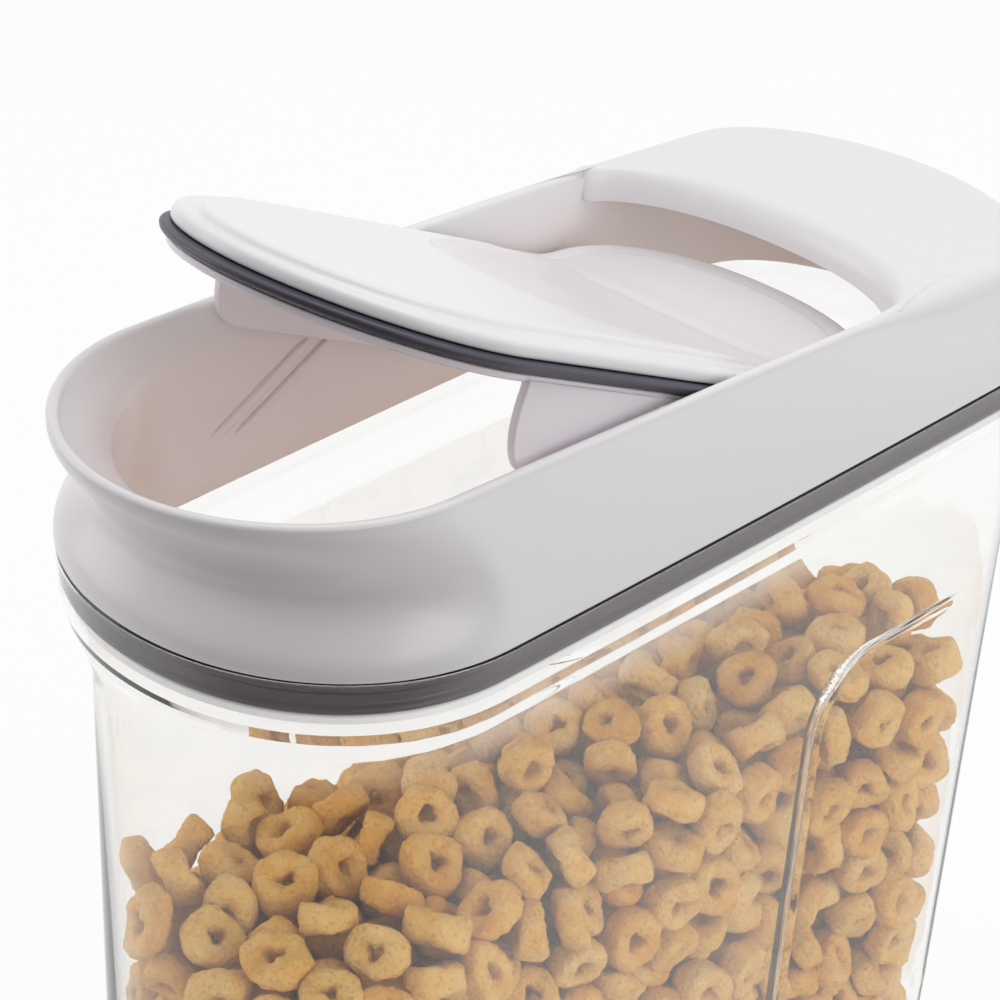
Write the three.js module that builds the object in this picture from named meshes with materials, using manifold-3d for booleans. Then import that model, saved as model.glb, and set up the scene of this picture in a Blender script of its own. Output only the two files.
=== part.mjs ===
// Countertop cereal dispenser with a clear tapered container, a push-on lid whose chute opens
// at the front as a spout, and a flip cap that rocks on two pins inside the chute.
// Millimetres, +Z up. The spout points along -Y and X runs across the narrow width. The origin
// is on the counter, under the middle of the part. The cap is drawn tipped open.
// Lid and container are drawn with Y from the skirt's front tip and Z from its lower edge.

import * as THREE from 'three';
import { mergeVertices } from 'three/addons/utils/BufferGeometryUtils.js';
import Module from 'manifold-3d';

const wasm = await Module();
wasm.setup();

// Lid, measured at the lower edge of its skirt
const LENGTH = 252;            // front to back
const WIDTH = 107;             // side to side
const FRONT_END = 49;          // length of the rounded front end
const REAR_END = 32.5;         // length of the rounded rear end
const END_POWER = 2.07;        // superellipse power of both ends
const SIDE_BOW = 1.1;          // how far the sides draw in towards the ends
const RIM_Z = 204;             // lower edge of the skirt above the counter

// Crest, the upper rim of the lid
const CREST_IN = 7.5;          // how far it stands in from the skirt at the sides
const CREST_BACK_IN = 6;       // and at the rear
const SPOUT_REACH = 5.9;       // how far the spout's lip stands out in front
const CREST_FRONT_END = 45.5;
const CREST_POWER = 1.97;
const CREST_HEIGHT = 33.7;     // above the skirt's edge, at the skirt's front tip
const CREST_FALL = 0.026;      // slope of the crest line at the front tip
const CREST_SAG = 0.00013;     // added fall per mm squared
const LEAN_POWER = 1.15;       // how the outer skin leans in on its way up
const SKIRT_BULGE = 0.1;       // share of the lean that the skin bulges out half way up
const NECK_DEPTH = 7.7;        // hollow under the spout's lip
const NECK_RISE = 15.5;        // height of the hollow's deepest line above the skirt's edge
const RIM_ROLL = 1.2;          // rounding of the thin rim
const SHELL_WALL = 2.2;
const RIM_WALL = 2.5;

// Rear deck and the long opening in front of it
const DECK_LENGTH = 62.5;      // from the skirt's rear tip to the opening
const DECK_THICK = 3;
const DECK_ROLL = 5;           // rounding of the deck's outer edge
const DECK_SWELL = 1.06;       // how far that rounding stands out, to keep the crest's width
const LIP_DEPTH = 6.3;         // turned-down edge of the deck
const OPENING_FLARE = 6;       // how far the opening's rear edge rolls back
const OPENING_END = 25;        // length of the opening's rounded rear end

// Chute, the inner wall that hangs from the crest into the container's mouth
const CHUTE_TIP = 10;          // its front below the spout, from the skirt's front tip
const CHUTE_BACK_IN = 10.5;    // its rear, in from the skirt's rear tip
const CHUTE_FRONT_END = 42;
const CHUTE_REAR_END = 26;
const CHUTE_REAR_POWER = 2.15;
const CHUTE_DEPTH = 13.3;      // below the skirt's edge
const CHUTE_WALL = 2.2;
const SPOUT_START = 0.6;       // share of the crest's height where the spout starts to lean out

// Slanting ribs on the chute's side walls
const RIB_START = 61.5;        // lower end, from the skirt's front tip
const RIB_LOW = -0.4;          // lower end, above the skirt's edge
const RIB_RUN = 26.7;
const RIB_RISE = 13.3;
const RIB_WIDE = 2.8;
const RIB_NARROW = 2;
const RIB_STEP = 6.8;          // from the wide rib to the narrow one, along the chute
const RIB_STEP_DOWN = 1.4;
const RIB_DEPTH = 0.9;

// Container
const TAPER = 0.028;           // inward lean of the walls per mm of height
const WALL = 2.3;
const MOUTH_WALL = 1.7;
const MOUTH_SET = 0.2;         // how far the mouth stands in from the skirt's edge
const MOUTH_DROP = 7;          // depth of the mouth's straight part
const MOUTH_DRAFT = 0.03;      // its lean per mm
const WAIST_IN = 7.3;          // how far the body stands in below the flare
const WAIST_DROP = 32;         // depth where the flare ends
const LEDGE_DROP = 12;         // depth where the inside steps in below the mouth
const LEDGE_RUN = 5;           // height of that step
const FLOOR = 3.2;
const FOOT_ROUND = 8;
const FOOT_WIDTH = 7;
const FOOT_RECESS = 1.6;

// Hand recess on both long sides of the container
const GRIP_LENGTH = 89;        // from its front edge to the skirt's rear tip
const GRIP_TOP = 61;           // its upper edge below the rim
const GRIP_BOTTOM = 176;
const GRIP_DEPTH = 4;
const GRIP_RUN = 46;           // length over which the recess runs out to the rear
const GRIP_ROUND = 18;

// Lid seal and its carrier
const SEAL_HEIGHT = 7.4;
const SEAL_TOP = 1;            // upper edge of the seal below the skirt's edge
const SEAL_THICK = 2.8;
const SEAL_GROOVE = 1.1;       // depth of the seal's grooves
const CARRIER_LIP = 1.8;       // flange under the seal
const CARRIER_TOP = 2.5;       // rise of the carrier into the lid
const CARRIER_DRAFT = 0.8;     // room for the skirt's lean beside it

// Flip cap, in its own frame: origin on the hinge line, +y to the rear, +z up
const HINGE_BACK = 54.5;       // hinge line in front of the opening's rear edge
const PIVOT_Z = 0;             // hinge line above the skirt's edge
const OPEN_TILT = 24.8;        // tilt of the open cap, degrees
const CAP_FRONT_IN = 5.7;      // cap's tip behind the skirt's front tip, measured along the cap
const TAIL_ROOM = 8.1;         // cap's tail in front of the opening's rear edge, along the cap
const CAP_ROOM = 2;            // room on each side of the cap in the chute
const CAP_FRONT_END = 41;
const CAP_REAR_END = 27;
const CAP_POWER = 1.95;
const CAP_REAR_POWER = 2.2;
const CAP_RISE = 16.5;         // underside of the cap's shell above the hinge line
const CAP_THICK = 3.6;
const CAP_EDGE = 4.5;          // width of the shell's solid edge
const CAP_POCKET = 1.5;        // depth of the hollow inside that edge
const TAIL_START = 15.5;       // crease where the press tab starts to rise
const TAIL_SLOPE = 0.353;
const TAIL_SOFT = 5;           // half the length of the crease's bend

// Raised panel on the front of the cap
const PANEL_RAISE = 1.3;
const PANEL_IN = 6.5;
const PANEL_FRONT_IN = 3.6;
const PANEL_BACK = -52;        // its rear edge on the centre line
const PANEL_TAILS = 8;         // rear end of the two narrow strips along its sides

// Cap seal and the frame below it
const CAP_SEAL_THICK = 2.6;
const CAP_SEAL_IN = 3.4;       // its inner edge
const CAP_SEAL_LIP = 1.5;      // how far its wiper stands out
const CAP_TIP_LIP = 1.6;       // how much further it stands out at the cap's tip
const FRAME_FLANGE = 1.6;
const FRAME_IN = 1.2;
const FRAME_RIM = 9;           // width of the frame round its open dish

// Hinge ears on the frame
const EAR_SETBACK = 44;        // front edge of the ears behind the cap's tip
const EAR_BACK = 8;
const EAR_DROP = 6.1;          // lower edge of the ears below the hinge line
const EAR_ROOM = 2.5;          // room between each ear and the chute
const EAR_THICK = 2;
const EAR_ROUND = 8;
const BOSS_RADIUS = 5.4;
const BOSS_THICK = 4.2;
const DETENT_Y = -41;
const DETENT_Z = 9.5;
const DETENT_RADIUS = 1.6;
const DETENT_STAND = 0.7;
const PIN_RADIUS = 2;

const GAP = 0.3;               // clearance between pieces that seat on each other
const JOIN = 3;                // how far bodies that are joined run into each other
const OVERCUT = 20;            // how far a cutting body runs past what it cuts

// Places that follow from the sizes above
const MID_Y = (LENGTH - SPOUT_REACH) / 2;
const CREST_HALF = WIDTH / 2 - CREST_IN;
const BORE_HALF = CREST_HALF - RIM_WALL;
const CHUTE_BACK = LENGTH - CHUTE_BACK_IN;
const OPENING_BACK = LENGTH - DECK_LENGTH;
const PIVOT_Y = OPENING_BACK - HINGE_BACK;
const CAP_TIP = CAP_FRONT_IN - PIVOT_Y;
const CAP_BACK = HINGE_BACK - TAIL_ROOM;
const CAP_HALF = BORE_HALF - CAP_ROOM;
const EAR_FRONT = CAP_TIP + EAR_SETBACK;
const EAR_OUTER = BORE_HALF - EAR_ROOM;
const SEAL_IN = MOUTH_WALL + GAP;       // outer edge of the lid seal from the skirt's edge
const SEAL_BACK = SEAL_IN + SEAL_THICK; // its inner face
const SEAL_LOW = -SEAL_TOP - SEAL_HEIGHT;

// How finely the forms are drawn
const ARC = 10;                // steps in a quarter of a rounded end
const SIDE = 6;                // steps along a side
const SKIN_LEVELS = [0, 0.1, 0.2, 0.3, 0.39, 0.47, 0.56, 0.67, 0.78, 0.89];
const HOLLOW_LEVELS = [0, 0.2, 0.39, 0.5, 0.67, 0.8];
const BORE_LEVELS = [SPOUT_START, 0.7, 0.78, 0.86, 0.93];
const QUARTER = [0, 30, 60, 90];

const cosOf = (degrees) => Math.cos(degrees * Math.PI / 180);
const sinOf = (degrees) => Math.sin(degrees * Math.PI / 180);
const mix = (a, b, t) => a + (b - a) * t;
const clamp = (t) => Math.min(1, Math.max(0, t));
const ease = (t) => clamp(t) ** 2 * (3 - 2 * clamp(t));
const steps = (from, to, count) => Array.from({ length: count + 1 },
  (_, i) => mix(from, to, i / count));

// Outlines in plan

// One closed outline as [x, y] points, from the front tip round by +X to the rear and back.
function outline({ front, back, half, frontEnd, rearEnd, power, rearPower = power, bow = 0 }) {
  const right = [];
  const middle = (front + back) / 2, reach = (back - front) / 2;
  const add = (x, y) => {
    const draw = bow * ((y - middle) / reach) ** 2 * Math.min(1, x / half);
    right.push([Math.max(0, x - draw), y]);
  };
  for (const a of steps(0, 90, ARC)) {
    add(half * sinOf(a) ** (2 / power), front + frontEnd * (1 - cosOf(a) ** (2 / power)));
  }
  for (const y of steps(front + frontEnd, back - rearEnd, SIDE).slice(1, -1)) add(half, y);
  for (const a of steps(90, 0, ARC)) {
    add(half * sinOf(a) ** (2 / rearPower), back - rearEnd * (1 - cosOf(a) ** (2 / rearPower)));
  }
  right[0][0] = 0;
  right[right.length - 1][0] = 0;
  const left = right.slice(1, -1).reverse().map(([x, y]) => [-x, y]);
  return [...right, ...left];
}

// Outward unit normals of a closed outline.
function normals(ring) {
  const n = ring.length;
  return ring.map((_, i) => {
    const [ax, ay] = ring[(i + n - 1) % n], [bx, by] = ring[(i + 1) % n];
    const dx = bx - ax, dy = by - ay, d = Math.hypot(dx, dy);
    return [dy / d, -dx / d];
  });
}

// The outline moved inwards by d, or outwards where d is negative. d may differ by point.
function inset(ring, d) {
  const n = normals(ring), at = typeof d === 'function' ? d : () => d;
  return ring.map(([x, y], i) => [x - n[i][0] * at(i), y - n[i][1] * at(i)]);
}

const mixRing = (a, b, t) => a.map(([x, y], i) => [mix(x, b[i][0], t), mix(y, b[i][1], t)]);
const flat = (ring, z) => ring.map(([x, y]) => [x, y, z]);

// How much each point of an outline faces forwards, 1 at the tip and 0 along the sides.
const facing = (ring) => normals(ring).map(([, ny]) => Math.max(0, -ny));

// Solids

function toSolid(geometry) {
  const bare = geometry.clone();
  for (const name of Object.keys(bare.attributes)) {
    if (name !== 'position') bare.deleteAttribute(name);
  }
  const merged = mergeVertices(bare, 1e-4);
  return new wasm.Manifold(new wasm.Mesh({
    numProp: 3,
    vertProperties: new Float32Array(merged.attributes.position.array),
    triVerts: new Uint32Array(merged.index.array),
  }));
}

function solidFrom(position, index) {
  const geometry = new THREE.BufferGeometry();
  geometry.setAttribute('position', new THREE.Float32BufferAttribute(position, 3));
  geometry.setIndex(index);
  return toSolid(geometry);
}

// Closed body through stacked rings of [x, y, z] points with equal counts, bottom ring first.
// Both ends are closed by strips that run straight across from one side to the other.
function loft(rings) {
  const n = rings[0].length, half = n / 2;
  const index = [];
  for (let k = 0; k + 1 < rings.length; k++) {
    for (let i = 0; i < n; i++) {
      const a = k * n + i, b = k * n + (i + 1) % n;
      index.push(a, b, b + n, a, b + n, a + n);
    }
  }
  const close = (base, up) => {
    for (let i = 0; i < half; i++) {
      const a = base + i, b = base + i + 1;
      const c = base + (n - i) % n, d = base + n - i - 1;
      const strip = [[a, b, d], [a, d, c]];
      if (i === 0) strip.pop();
      if (i === half - 1) strip.splice(0, 2, [a, b, c]);
      for (const [p, q, r] of strip) index.push(...(up ? [p, q, r] : [p, r, q]));
    }
  };
  close(0, false);
  close((rings.length - 1) * n, true);
  return solidFrom(rings.flat(2), index);
}

// Closed ring of section points [inset, z] carried round an outline. The section runs
// anticlockwise with the inset growing to the left, and z may depend on y.
function hoop(base, section) {
  const n = base.length, m = section.length, position = [], index = [];
  for (const [d, z] of section) {
    for (const [x, y] of inset(base, d)) position.push(x, y, typeof z === 'function' ? z(y) : z);
  }
  for (let k = 0; k < m; k++) {
    for (let i = 0; i < n; i++) {
      const a = k * n + i, b = k * n + (i + 1) % n;
      const c = ((k + 1) % m) * n + i, d = ((k + 1) % m) * n + (i + 1) % n;
      index.push(a, b, d, a, d, c);
    }
  }
  return solidFrom(position, index);
}

// A flat shape in the Y-Z plane, given a thickness along X from x0 to x1.
function slab(shape, x0, x1) {
  const geometry = new THREE.ExtrudeGeometry(shape,
    { depth: x1 - x0, bevelEnabled: false, curveSegments: 8 });
  // the shape's x becomes Y, its y becomes Z and its depth runs along X
  geometry.applyMatrix4(new THREE.Matrix4().set(0, 0, 1, x0, 1, 0, 0, 0, 0, 1, 0, 0, 0, 0, 0, 1));
  return toSolid(geometry);
}

// A cylinder along X from x0 to x1.
function rod(radius, x0, x1, y, z, sides = 24) {
  const geometry = new THREE.CylinderGeometry(radius, radius, x1 - x0, sides);
  geometry.rotateZ(Math.PI / 2);
  geometry.translate((x0 + x1) / 2, y, z);
  return toSolid(geometry);
}

// A pair of places along X on the side that is asked for, in rising order.
const onSide = (side, near, far) => (side > 0 ? [near, far] : [-far, -near]);

// Shared outlines and heights

const skirtEdge = outline({ front: 0, back: LENGTH, half: WIDTH / 2, frontEnd: FRONT_END,
  rearEnd: REAR_END, power: END_POWER, bow: SIDE_BOW });
const crestEdge = outline({ front: -SPOUT_REACH, back: LENGTH - CREST_BACK_IN,
  half: CREST_HALF, frontEnd: CREST_FRONT_END, rearEnd: REAR_END, power: CREST_POWER,
  bow: SIDE_BOW });
const crestZ = (y) => CREST_HEIGHT - CREST_FALL * y - CREST_SAG * y * y;

// Plan of the chute's bore low down, and of the open mouth at the crest.
const boreLow = outline({ front: CHUTE_TIP, back: CHUTE_BACK, half: BORE_HALF,
  frontEnd: CHUTE_FRONT_END, rearEnd: CHUTE_REAR_END, power: CREST_POWER,
  rearPower: CHUTE_REAR_POWER, bow: SIDE_BOW });
const boreTop = inset(outline({ front: -SPOUT_REACH, back: CHUTE_BACK + RIM_WALL,
  half: CREST_HALF, frontEnd: CREST_FRONT_END, rearEnd: CHUTE_REAR_END + RIM_WALL,
  power: CREST_POWER, rearPower: CHUTE_REAR_POWER, bow: SIDE_BOW }), RIM_WALL);

// Lid shell

const skirtFacing = facing(skirtEdge);

// The outer skin at a share t of the crest's height, moved inwards by wall.
function skinRing(t, wall) {
  const lean = t ** LEAN_POWER - SKIRT_BULGE * Math.sin(Math.PI * t);
  const z = t * CREST_HEIGHT, low = 2, high = CREST_HEIGHT * 0.96;
  const up = ease((z - low) / (NECK_RISE - low));
  const down = 1 - ease((z - NECK_RISE) / (high - NECK_RISE));
  return inset(mixRing(skirtEdge, crestEdge, lean),
    (i) => wall + NECK_DEPTH * skirtFacing[i] ** 0.8 * up * down);
}

// Solid under the outer skin. below adds a straight part under the skirt's edge.
function skinBody(levels, wall, drop, below = 0) {
  const rings = below > 0 ? [flat(skinRing(0, wall), -below)] : [];
  const deck = crestEdge.map(([, y]) => ease((y - OPENING_BACK + 35) / 40));
  const roll = deck.map((share) => Math.max(0.6, mix(RIM_ROLL, DECK_ROLL, share) - wall * 0.5));
  const swell = deck.map((share) => DECK_SWELL * share);
  const top = crestEdge.map(([, y], i) => crestZ(y) + swell[i] - drop);
  for (const t of levels) {
    rings.push(skinRing(t, wall).map(([x, y], i) => [x, y, t * (top[i] - roll[i])]));
  }
  for (const a of [0, 35, 65, 90]) {
    const ring = inset(skinRing(1, wall), (i) => roll[i] * (1 - cosOf(a)) - swell[i]);
    rings.push(ring.map(([x, y], i) => [x, y, top[i] - roll[i] * (1 - sinOf(a))]));
  }
  return loft(rings);
}

// The chute's outline at a share t of the crest's height, leaning out into the spout.
const boreRing = (t) => mixRing(boreLow, boreTop, ease((t - SPOUT_START) / (1 - SPOUT_START)));

// The bore from under the chute to above the crest, with its upper edge rolled outwards.
function boreBody() {
  const rings = [flat(boreLow, -CHUTE_DEPTH - JOIN)];
  for (const t of BORE_LEVELS) rings.push(boreRing(t).map(([x, y]) => [x, y, t * crestZ(y)]));
  for (const a of [0, 45, 90]) {
    const ring = inset(boreTop, -RIM_ROLL * (1 - cosOf(a)));
    rings.push(ring.map(([x, y]) => [x, y, crestZ(y) - RIM_ROLL * (1 - sinOf(a))]));
  }
  rings.push(rings.at(-1).map(([x, y, z]) => [x, y, z + DECK_ROLL + JOIN]));
  return loft(rings);
}

// A block across the lid whose lower and upper faces follow the crest line.
function crestBlock(front, back, half, low, high) {
  const right = [[0, front], ...steps(front, back, SIDE).map((y) => [half, y]), [0, back]];
  const ring = [...right, ...right.slice(1, -1).reverse().map(([x, y]) => [-x, y])];
  return loft([low, high].map((d) => ring.map(([x, y]) => [x, y, crestZ(y) + d])));
}

// The deck that stays over the rear of the bore, with a thick turned-down edge at the opening.
function deck() {
  const start = OPENING_BACK - 2 * (OPENING_END + OPENING_FLARE);
  const lip = OPENING_BACK + OPENING_FLARE + DECK_THICK;
  const block = crestBlock(start, LENGTH + OVERCUT, WIDTH, -LIP_DEPTH, OVERCUT);
  const under = crestBlock(lip, LENGTH + 2 * OVERCUT, 2 * WIDTH, -LIP_DEPTH - JOIN, -DECK_THICK);
  const plan = (flare, side) => outline({ front: 0, back: OPENING_BACK + flare,
    half: BORE_HALF + side, frontEnd: CREST_FRONT_END, rearEnd: OPENING_END + flare,
    power: 2, rearPower: 2.2 });
  const rings = [plan(0, 0.5).map(([x, y]) => [x, y, crestZ(y) - LIP_DEPTH - 1])];
  for (const a of [12, 35, 57, 75, 90]) {
    const out = 1 - cosOf(a);
    const ring = plan(OPENING_FLARE * out, 0.5 + 2 * out);
    rings.push(ring.map(([x, y]) => [x, y, crestZ(y) - LIP_DEPTH * (1 - sinOf(a))]));
  }
  rings.push(rings.at(-1).map(([x, y, z]) => [x, y, z + OVERCUT + JOIN]));
  return block.subtract(under).subtract(loft(rings));
}

// Half width of the bore at a place along Y.
function boreAt(y) {
  const middle = (CHUTE_TIP + CHUTE_BACK) / 2, reach = (CHUTE_BACK - CHUTE_TIP) / 2;
  return BORE_HALF - SIDE_BOW * ((y - middle) / reach) ** 2;
}

// Two slanting ribs on each side wall of the chute, the narrow one behind the wide one.
function chuteRibs() {
  const ribs = [];
  const length = Math.hypot(RIB_RUN, RIB_RISE);
  for (const side of [1, -1]) {
    for (const [k, wide] of [RIB_WIDE, RIB_NARROW].entries()) {
      const y = RIB_START + k * RIB_STEP, z = RIB_LOW - k * RIB_STEP_DOWN;
      const across = [-RIB_RISE / length * wide / 2, RIB_RUN / length * wide / 2];
      const shape = new THREE.Shape([
        new THREE.Vector2(y + across[0], z + across[1]),
        new THREE.Vector2(y - across[0], z - across[1]),
        new THREE.Vector2(y + RIB_RUN - across[0], z + RIB_RISE - across[1]),
        new THREE.Vector2(y + RIB_RUN + across[0], z + RIB_RISE + across[1])]);
      ribs.push(slab(shape, ...onSide(side, boreAt(y) - RIB_DEPTH, BORE_HALF + CHUTE_WALL / 2)));
    }
  }
  return ribs;
}

function lidShell() {
  const outer = skinBody(SKIN_LEVELS, 0, 0);
  const chuteOuter = inset(boreLow, -CHUTE_WALL);
  // the chute's wall inside the hollow between it and the skirt
  const tube = [flat(chuteOuter, -CHUTE_DEPTH)];
  for (const t of BORE_LEVELS) {
    tube.push(inset(boreRing(t), -CHUTE_WALL).map(([x, y]) => [x, y, t * crestZ(y)]));
  }
  tube.push(inset(boreTop, -CHUTE_WALL).map(([x, y]) => [x, y, crestZ(y) + JOIN]));
  const hollow = skinBody(HOLLOW_LEVELS, SHELL_WALL, DECK_THICK, CHUTE_DEPTH + JOIN)
    .subtract(loft(tube));
  const hanging = loft([flat(chuteOuter, -CHUTE_DEPTH), flat(chuteOuter, JOIN)]);
  let shell = outer.add(hanging).subtract(hollow).subtract(boreBody().subtract(deck()));
  for (const rib of chuteRibs()) shell = shell.add(rib);
  for (const side of [1, -1]) {
    const through = onSide(side, BORE_HALF - JOIN, BORE_HALF + CHUTE_WALL + JOIN / 2);
    shell = shell.subtract(rod(PIN_RADIUS + GAP / 2, ...through, PIVOT_Y, PIVOT_Z));
  }
  return shell;
}

// Lid seal and carrier

// Silicone ring with two ribs that press on the inside of the mouth.
function lidSeal() {
  const rib = SEAL_IN, groove = SEAL_IN + SEAL_GROOVE;
  const z = (share) => -SEAL_TOP - SEAL_HEIGHT * share;
  return hoop(skirtEdge, [
    [SEAL_BACK, z(0)], [SEAL_BACK, z(1)], [groove, z(1)], [rib, z(0.86)], [rib, z(0.76)],
    [groove, z(0.66)], [groove, z(0.36)], [rib, z(0.24)], [rib, z(0.12)], [groove, z(0)]]);
}

// Ring round the chute that carries the seal and closes the lid from below.
function sealCarrier() {
  const groove = SEAL_BACK + GAP, flange = SHELL_WALL + GAP + CARRIER_DRAFT;
  const lip = SEAL_IN + SEAL_GROOVE + GAP / 2;
  const low = SEAL_LOW - GAP, high = GAP - SEAL_TOP, step = 0.01;
  const at = (d, z) => flat(inset(skirtEdge, d), z);
  const body = loft([at(lip, low - CARRIER_LIP), at(lip, low), at(groove, low + step),
    at(groove, high), at(flange, high + step), at(flange, CARRIER_TOP)]);
  const chute = inset(boreLow, -CHUTE_WALL - GAP);
  return body.subtract(loft([flat(chute, -CHUTE_DEPTH - OVERCUT), flat(chute, OVERCUT)]));
}

// Container

// Inward stand of the straight wall's outer face at a depth below the rim.
const wallIn = (drop) => WAIST_IN + TAPER * (drop - WAIST_DROP);

// The same with the flare up to the mouth.
function bodyIn(drop) {
  if (drop >= WAIST_DROP) return wallIn(drop);
  const flare = ease((drop - MOUTH_DROP) / (WAIST_DROP - MOUTH_DROP));
  return mix(MOUTH_SET, wallIn(WAIST_DROP), flare) + MOUTH_DRAFT * Math.min(drop, MOUTH_DROP);
}

// Hand recess on one side. Its floor leans with the wall and runs out towards the rear.
function grip(side, grow) {
  const start = LENGTH - GRIP_LENGTH;
  const y0 = start - grow, y1 = LENGTH + OVERCUT, r = GRIP_ROUND + grow;
  const z0 = -GRIP_BOTTOM - grow, z1 = -GRIP_TOP + grow;
  const shape = new THREE.Shape();
  shape.moveTo(y0 + r, z0).lineTo(y1, z0).lineTo(y1, z1).lineTo(y0 + r, z1);
  shape.absarc(y0 + r, z1 - r, r, Math.PI / 2, Math.PI, false);
  shape.lineTo(y0, z0 + r);
  shape.absarc(y0 + r, z0 + r, r, Math.PI, 1.5 * Math.PI, false);
  const face = WIDTH / 2 - wallIn(GRIP_TOP) - GRIP_DEPTH - grow;
  const lean = Math.atan(TAPER) * 180 / Math.PI;
  const run = Math.atan(GRIP_DEPTH / GRIP_RUN) * 180 / Math.PI;
  const solid = slab(shape, face, WIDTH).translate([-face, -start, GRIP_TOP])
    .rotate([0, lean, 0]).rotate([0, 0, -run]).translate([face, start, -GRIP_TOP]);
  return side > 0 ? solid : solid.mirror([1, 0, 0]);
}

function container() {
  const at = (d, z) => flat(inset(skirtEdge, d), z);
  const foot = wallIn(RIM_Z), bend = FOOT_ROUND - WALL;
  const outer = [
    ...QUARTER.map((a) => at(foot + FOOT_ROUND * (1 - sinOf(a)),
      -RIM_Z + FOOT_ROUND * (1 - cosOf(a)))),
    ...steps(WAIST_DROP + 1, MOUTH_DROP + 1, 5).map((drop) => at(bodyIn(drop), -drop)),
    at(bodyIn(GAP), -GAP)];

  const ledge = LEDGE_DROP + LEDGE_RUN, inner = bodyIn(ledge) + WALL;
  const inside = [
    ...steps(0, 90, 2).map((a) => at(foot + WALL + bend * (1 - sinOf(a)),
      FLOOR - RIM_Z + bend * (1 - cosOf(a)))),
    ...steps(WAIST_DROP + 2, ledge, 3).map((drop) => at(bodyIn(drop) + WALL, -drop)),
    at(mix(MOUTH_WALL, inner, 0.4), -LEDGE_DROP - LEDGE_RUN / 2),
    at(MOUTH_WALL, -LEDGE_DROP),
    at(MOUTH_WALL, JOIN)];

  let body = loft(outer), space = loft(inside);
  for (const side of [1, -1]) {
    body = body.subtract(grip(side, 0));
    space = space.subtract(grip(side, WALL));
  }
  // shallow recess under the floor, leaving a foot all round
  const ring = foot + FOOT_ROUND + FOOT_WIDTH;
  const recess = loft([at(ring, -RIM_Z - JOIN), at(ring + 1, -RIM_Z + FOOT_RECESS)]);
  return body.subtract(space).subtract(recess);
}

// Flip cap

const capEdge = outline({ front: CAP_TIP, back: CAP_BACK, half: CAP_HALF,
  frontEnd: CAP_FRONT_END, rearEnd: CAP_REAR_END, power: CAP_POWER, rearPower: CAP_REAR_POWER });
const capFacing = facing(capEdge);

// Rise of the press tab above the cap's flat part.
function tail(y) {
  const run = y - TAIL_START;
  if (run <= -TAIL_SOFT) return 0;
  if (run >= TAIL_SOFT) return run * TAIL_SLOPE;
  return TAIL_SLOPE * (run + TAIL_SOFT) ** 2 / (4 * TAIL_SOFT);
}

// A ring that follows the cap's form at a height z above the underside of its shell.
const lifted = (ring, z) => ring.map(([x, y]) => [x, y, CAP_RISE + z + tail(y)]);
const capRing = (d, z) => lifted(inset(capEdge, d), z);

// Raised front panel. Its rear is hollowed out, which leaves a narrow strip along each side.
function capPanel() {
  const half = CAP_HALF - PANEL_IN, top = CAP_THICK + PANEL_RAISE;
  const edge = outline({ front: CAP_TIP + PANEL_FRONT_IN, back: PANEL_TAILS, half,
    frontEnd: CAP_FRONT_END - PANEL_FRONT_IN, rearEnd: 6, power: CAP_POWER, rearPower: 3.4 });
  const panel = loft([lifted(inset(edge, -0.4), CAP_THICK - 1),
    lifted(inset(edge, -0.2), CAP_THICK + 0.2), lifted(inset(edge, 1.2), top)]);
  const wide = half + 1.5, end = PANEL_TAILS + 4;
  const hollow = new THREE.Shape();
  hollow.moveTo(-wide, end);
  hollow.bezierCurveTo(2 - half, PANEL_BACK + 7, -0.74 * half, PANEL_BACK, 0, PANEL_BACK);
  hollow.bezierCurveTo(0.74 * half, PANEL_BACK, half - 2, PANEL_BACK + 7, wide, end);
  const cut = new THREE.ExtrudeGeometry(hollow,
    { depth: PANEL_RAISE + JOIN, bevelEnabled: false, curveSegments: 14 });
  cut.translate(0, 0, CAP_RISE + CAP_THICK);
  return panel.subtract(toSolid(cut));
}

function capShell() {
  const shell = loft([capRing(1.1, 0), capRing(0.6, 0.6), capRing(0.7, 1.6), capRing(1.4, 2.7),
    capRing(2.7, 3.3), capRing(4.6, CAP_THICK)]);
  const pocket = loft([capRing(CAP_EDGE, -1), capRing(CAP_EDGE, CAP_POCKET - 0.4),
    capRing(CAP_EDGE + 0.7, CAP_POCKET)]);
  return shell.add(capPanel()).subtract(pocket);
}

// Silicone seal with a wiper that stands out furthest at the tip.
function capSeal() {
  const t = CAP_SEAL_THICK;
  const z = (d) => (y) => CAP_RISE + tail(y) + d;
  const wiper = (i) => -CAP_SEAL_LIP - CAP_TIP_LIP * capFacing[i] ** 4;
  return hoop(capEdge, [
    [CAP_SEAL_IN, z(-GAP)], [CAP_SEAL_IN, z(-GAP - t)], [-0.1, z(-GAP - t)],
    [wiper, z(0.6 - t)], [wiper, z(1.3 - t)], [-0.4, z(-1.1)], [0, z(-GAP)]]);
}

// Outline of one hinge ear, seen from the side.
function earShape(top) {
  const y0 = EAR_FRONT, y1 = EAR_BACK, z0 = -EAR_DROP, heel = EAR_DROP;
  const ear = new THREE.Shape();
  ear.moveTo(y0 + EAR_ROUND + 2, z0).lineTo(y1 - heel, z0);
  ear.absarc(y1 - heel, z0 + heel, heel, -Math.PI / 2, 0, false);
  ear.lineTo(y1, top).lineTo(y0, top);
  ear.bezierCurveTo(y0 - 0.5, z0 + EAR_ROUND, y0 + EAR_ROUND / 3, z0, y0 + EAR_ROUND + 2, z0);
  return ear;
}

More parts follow.
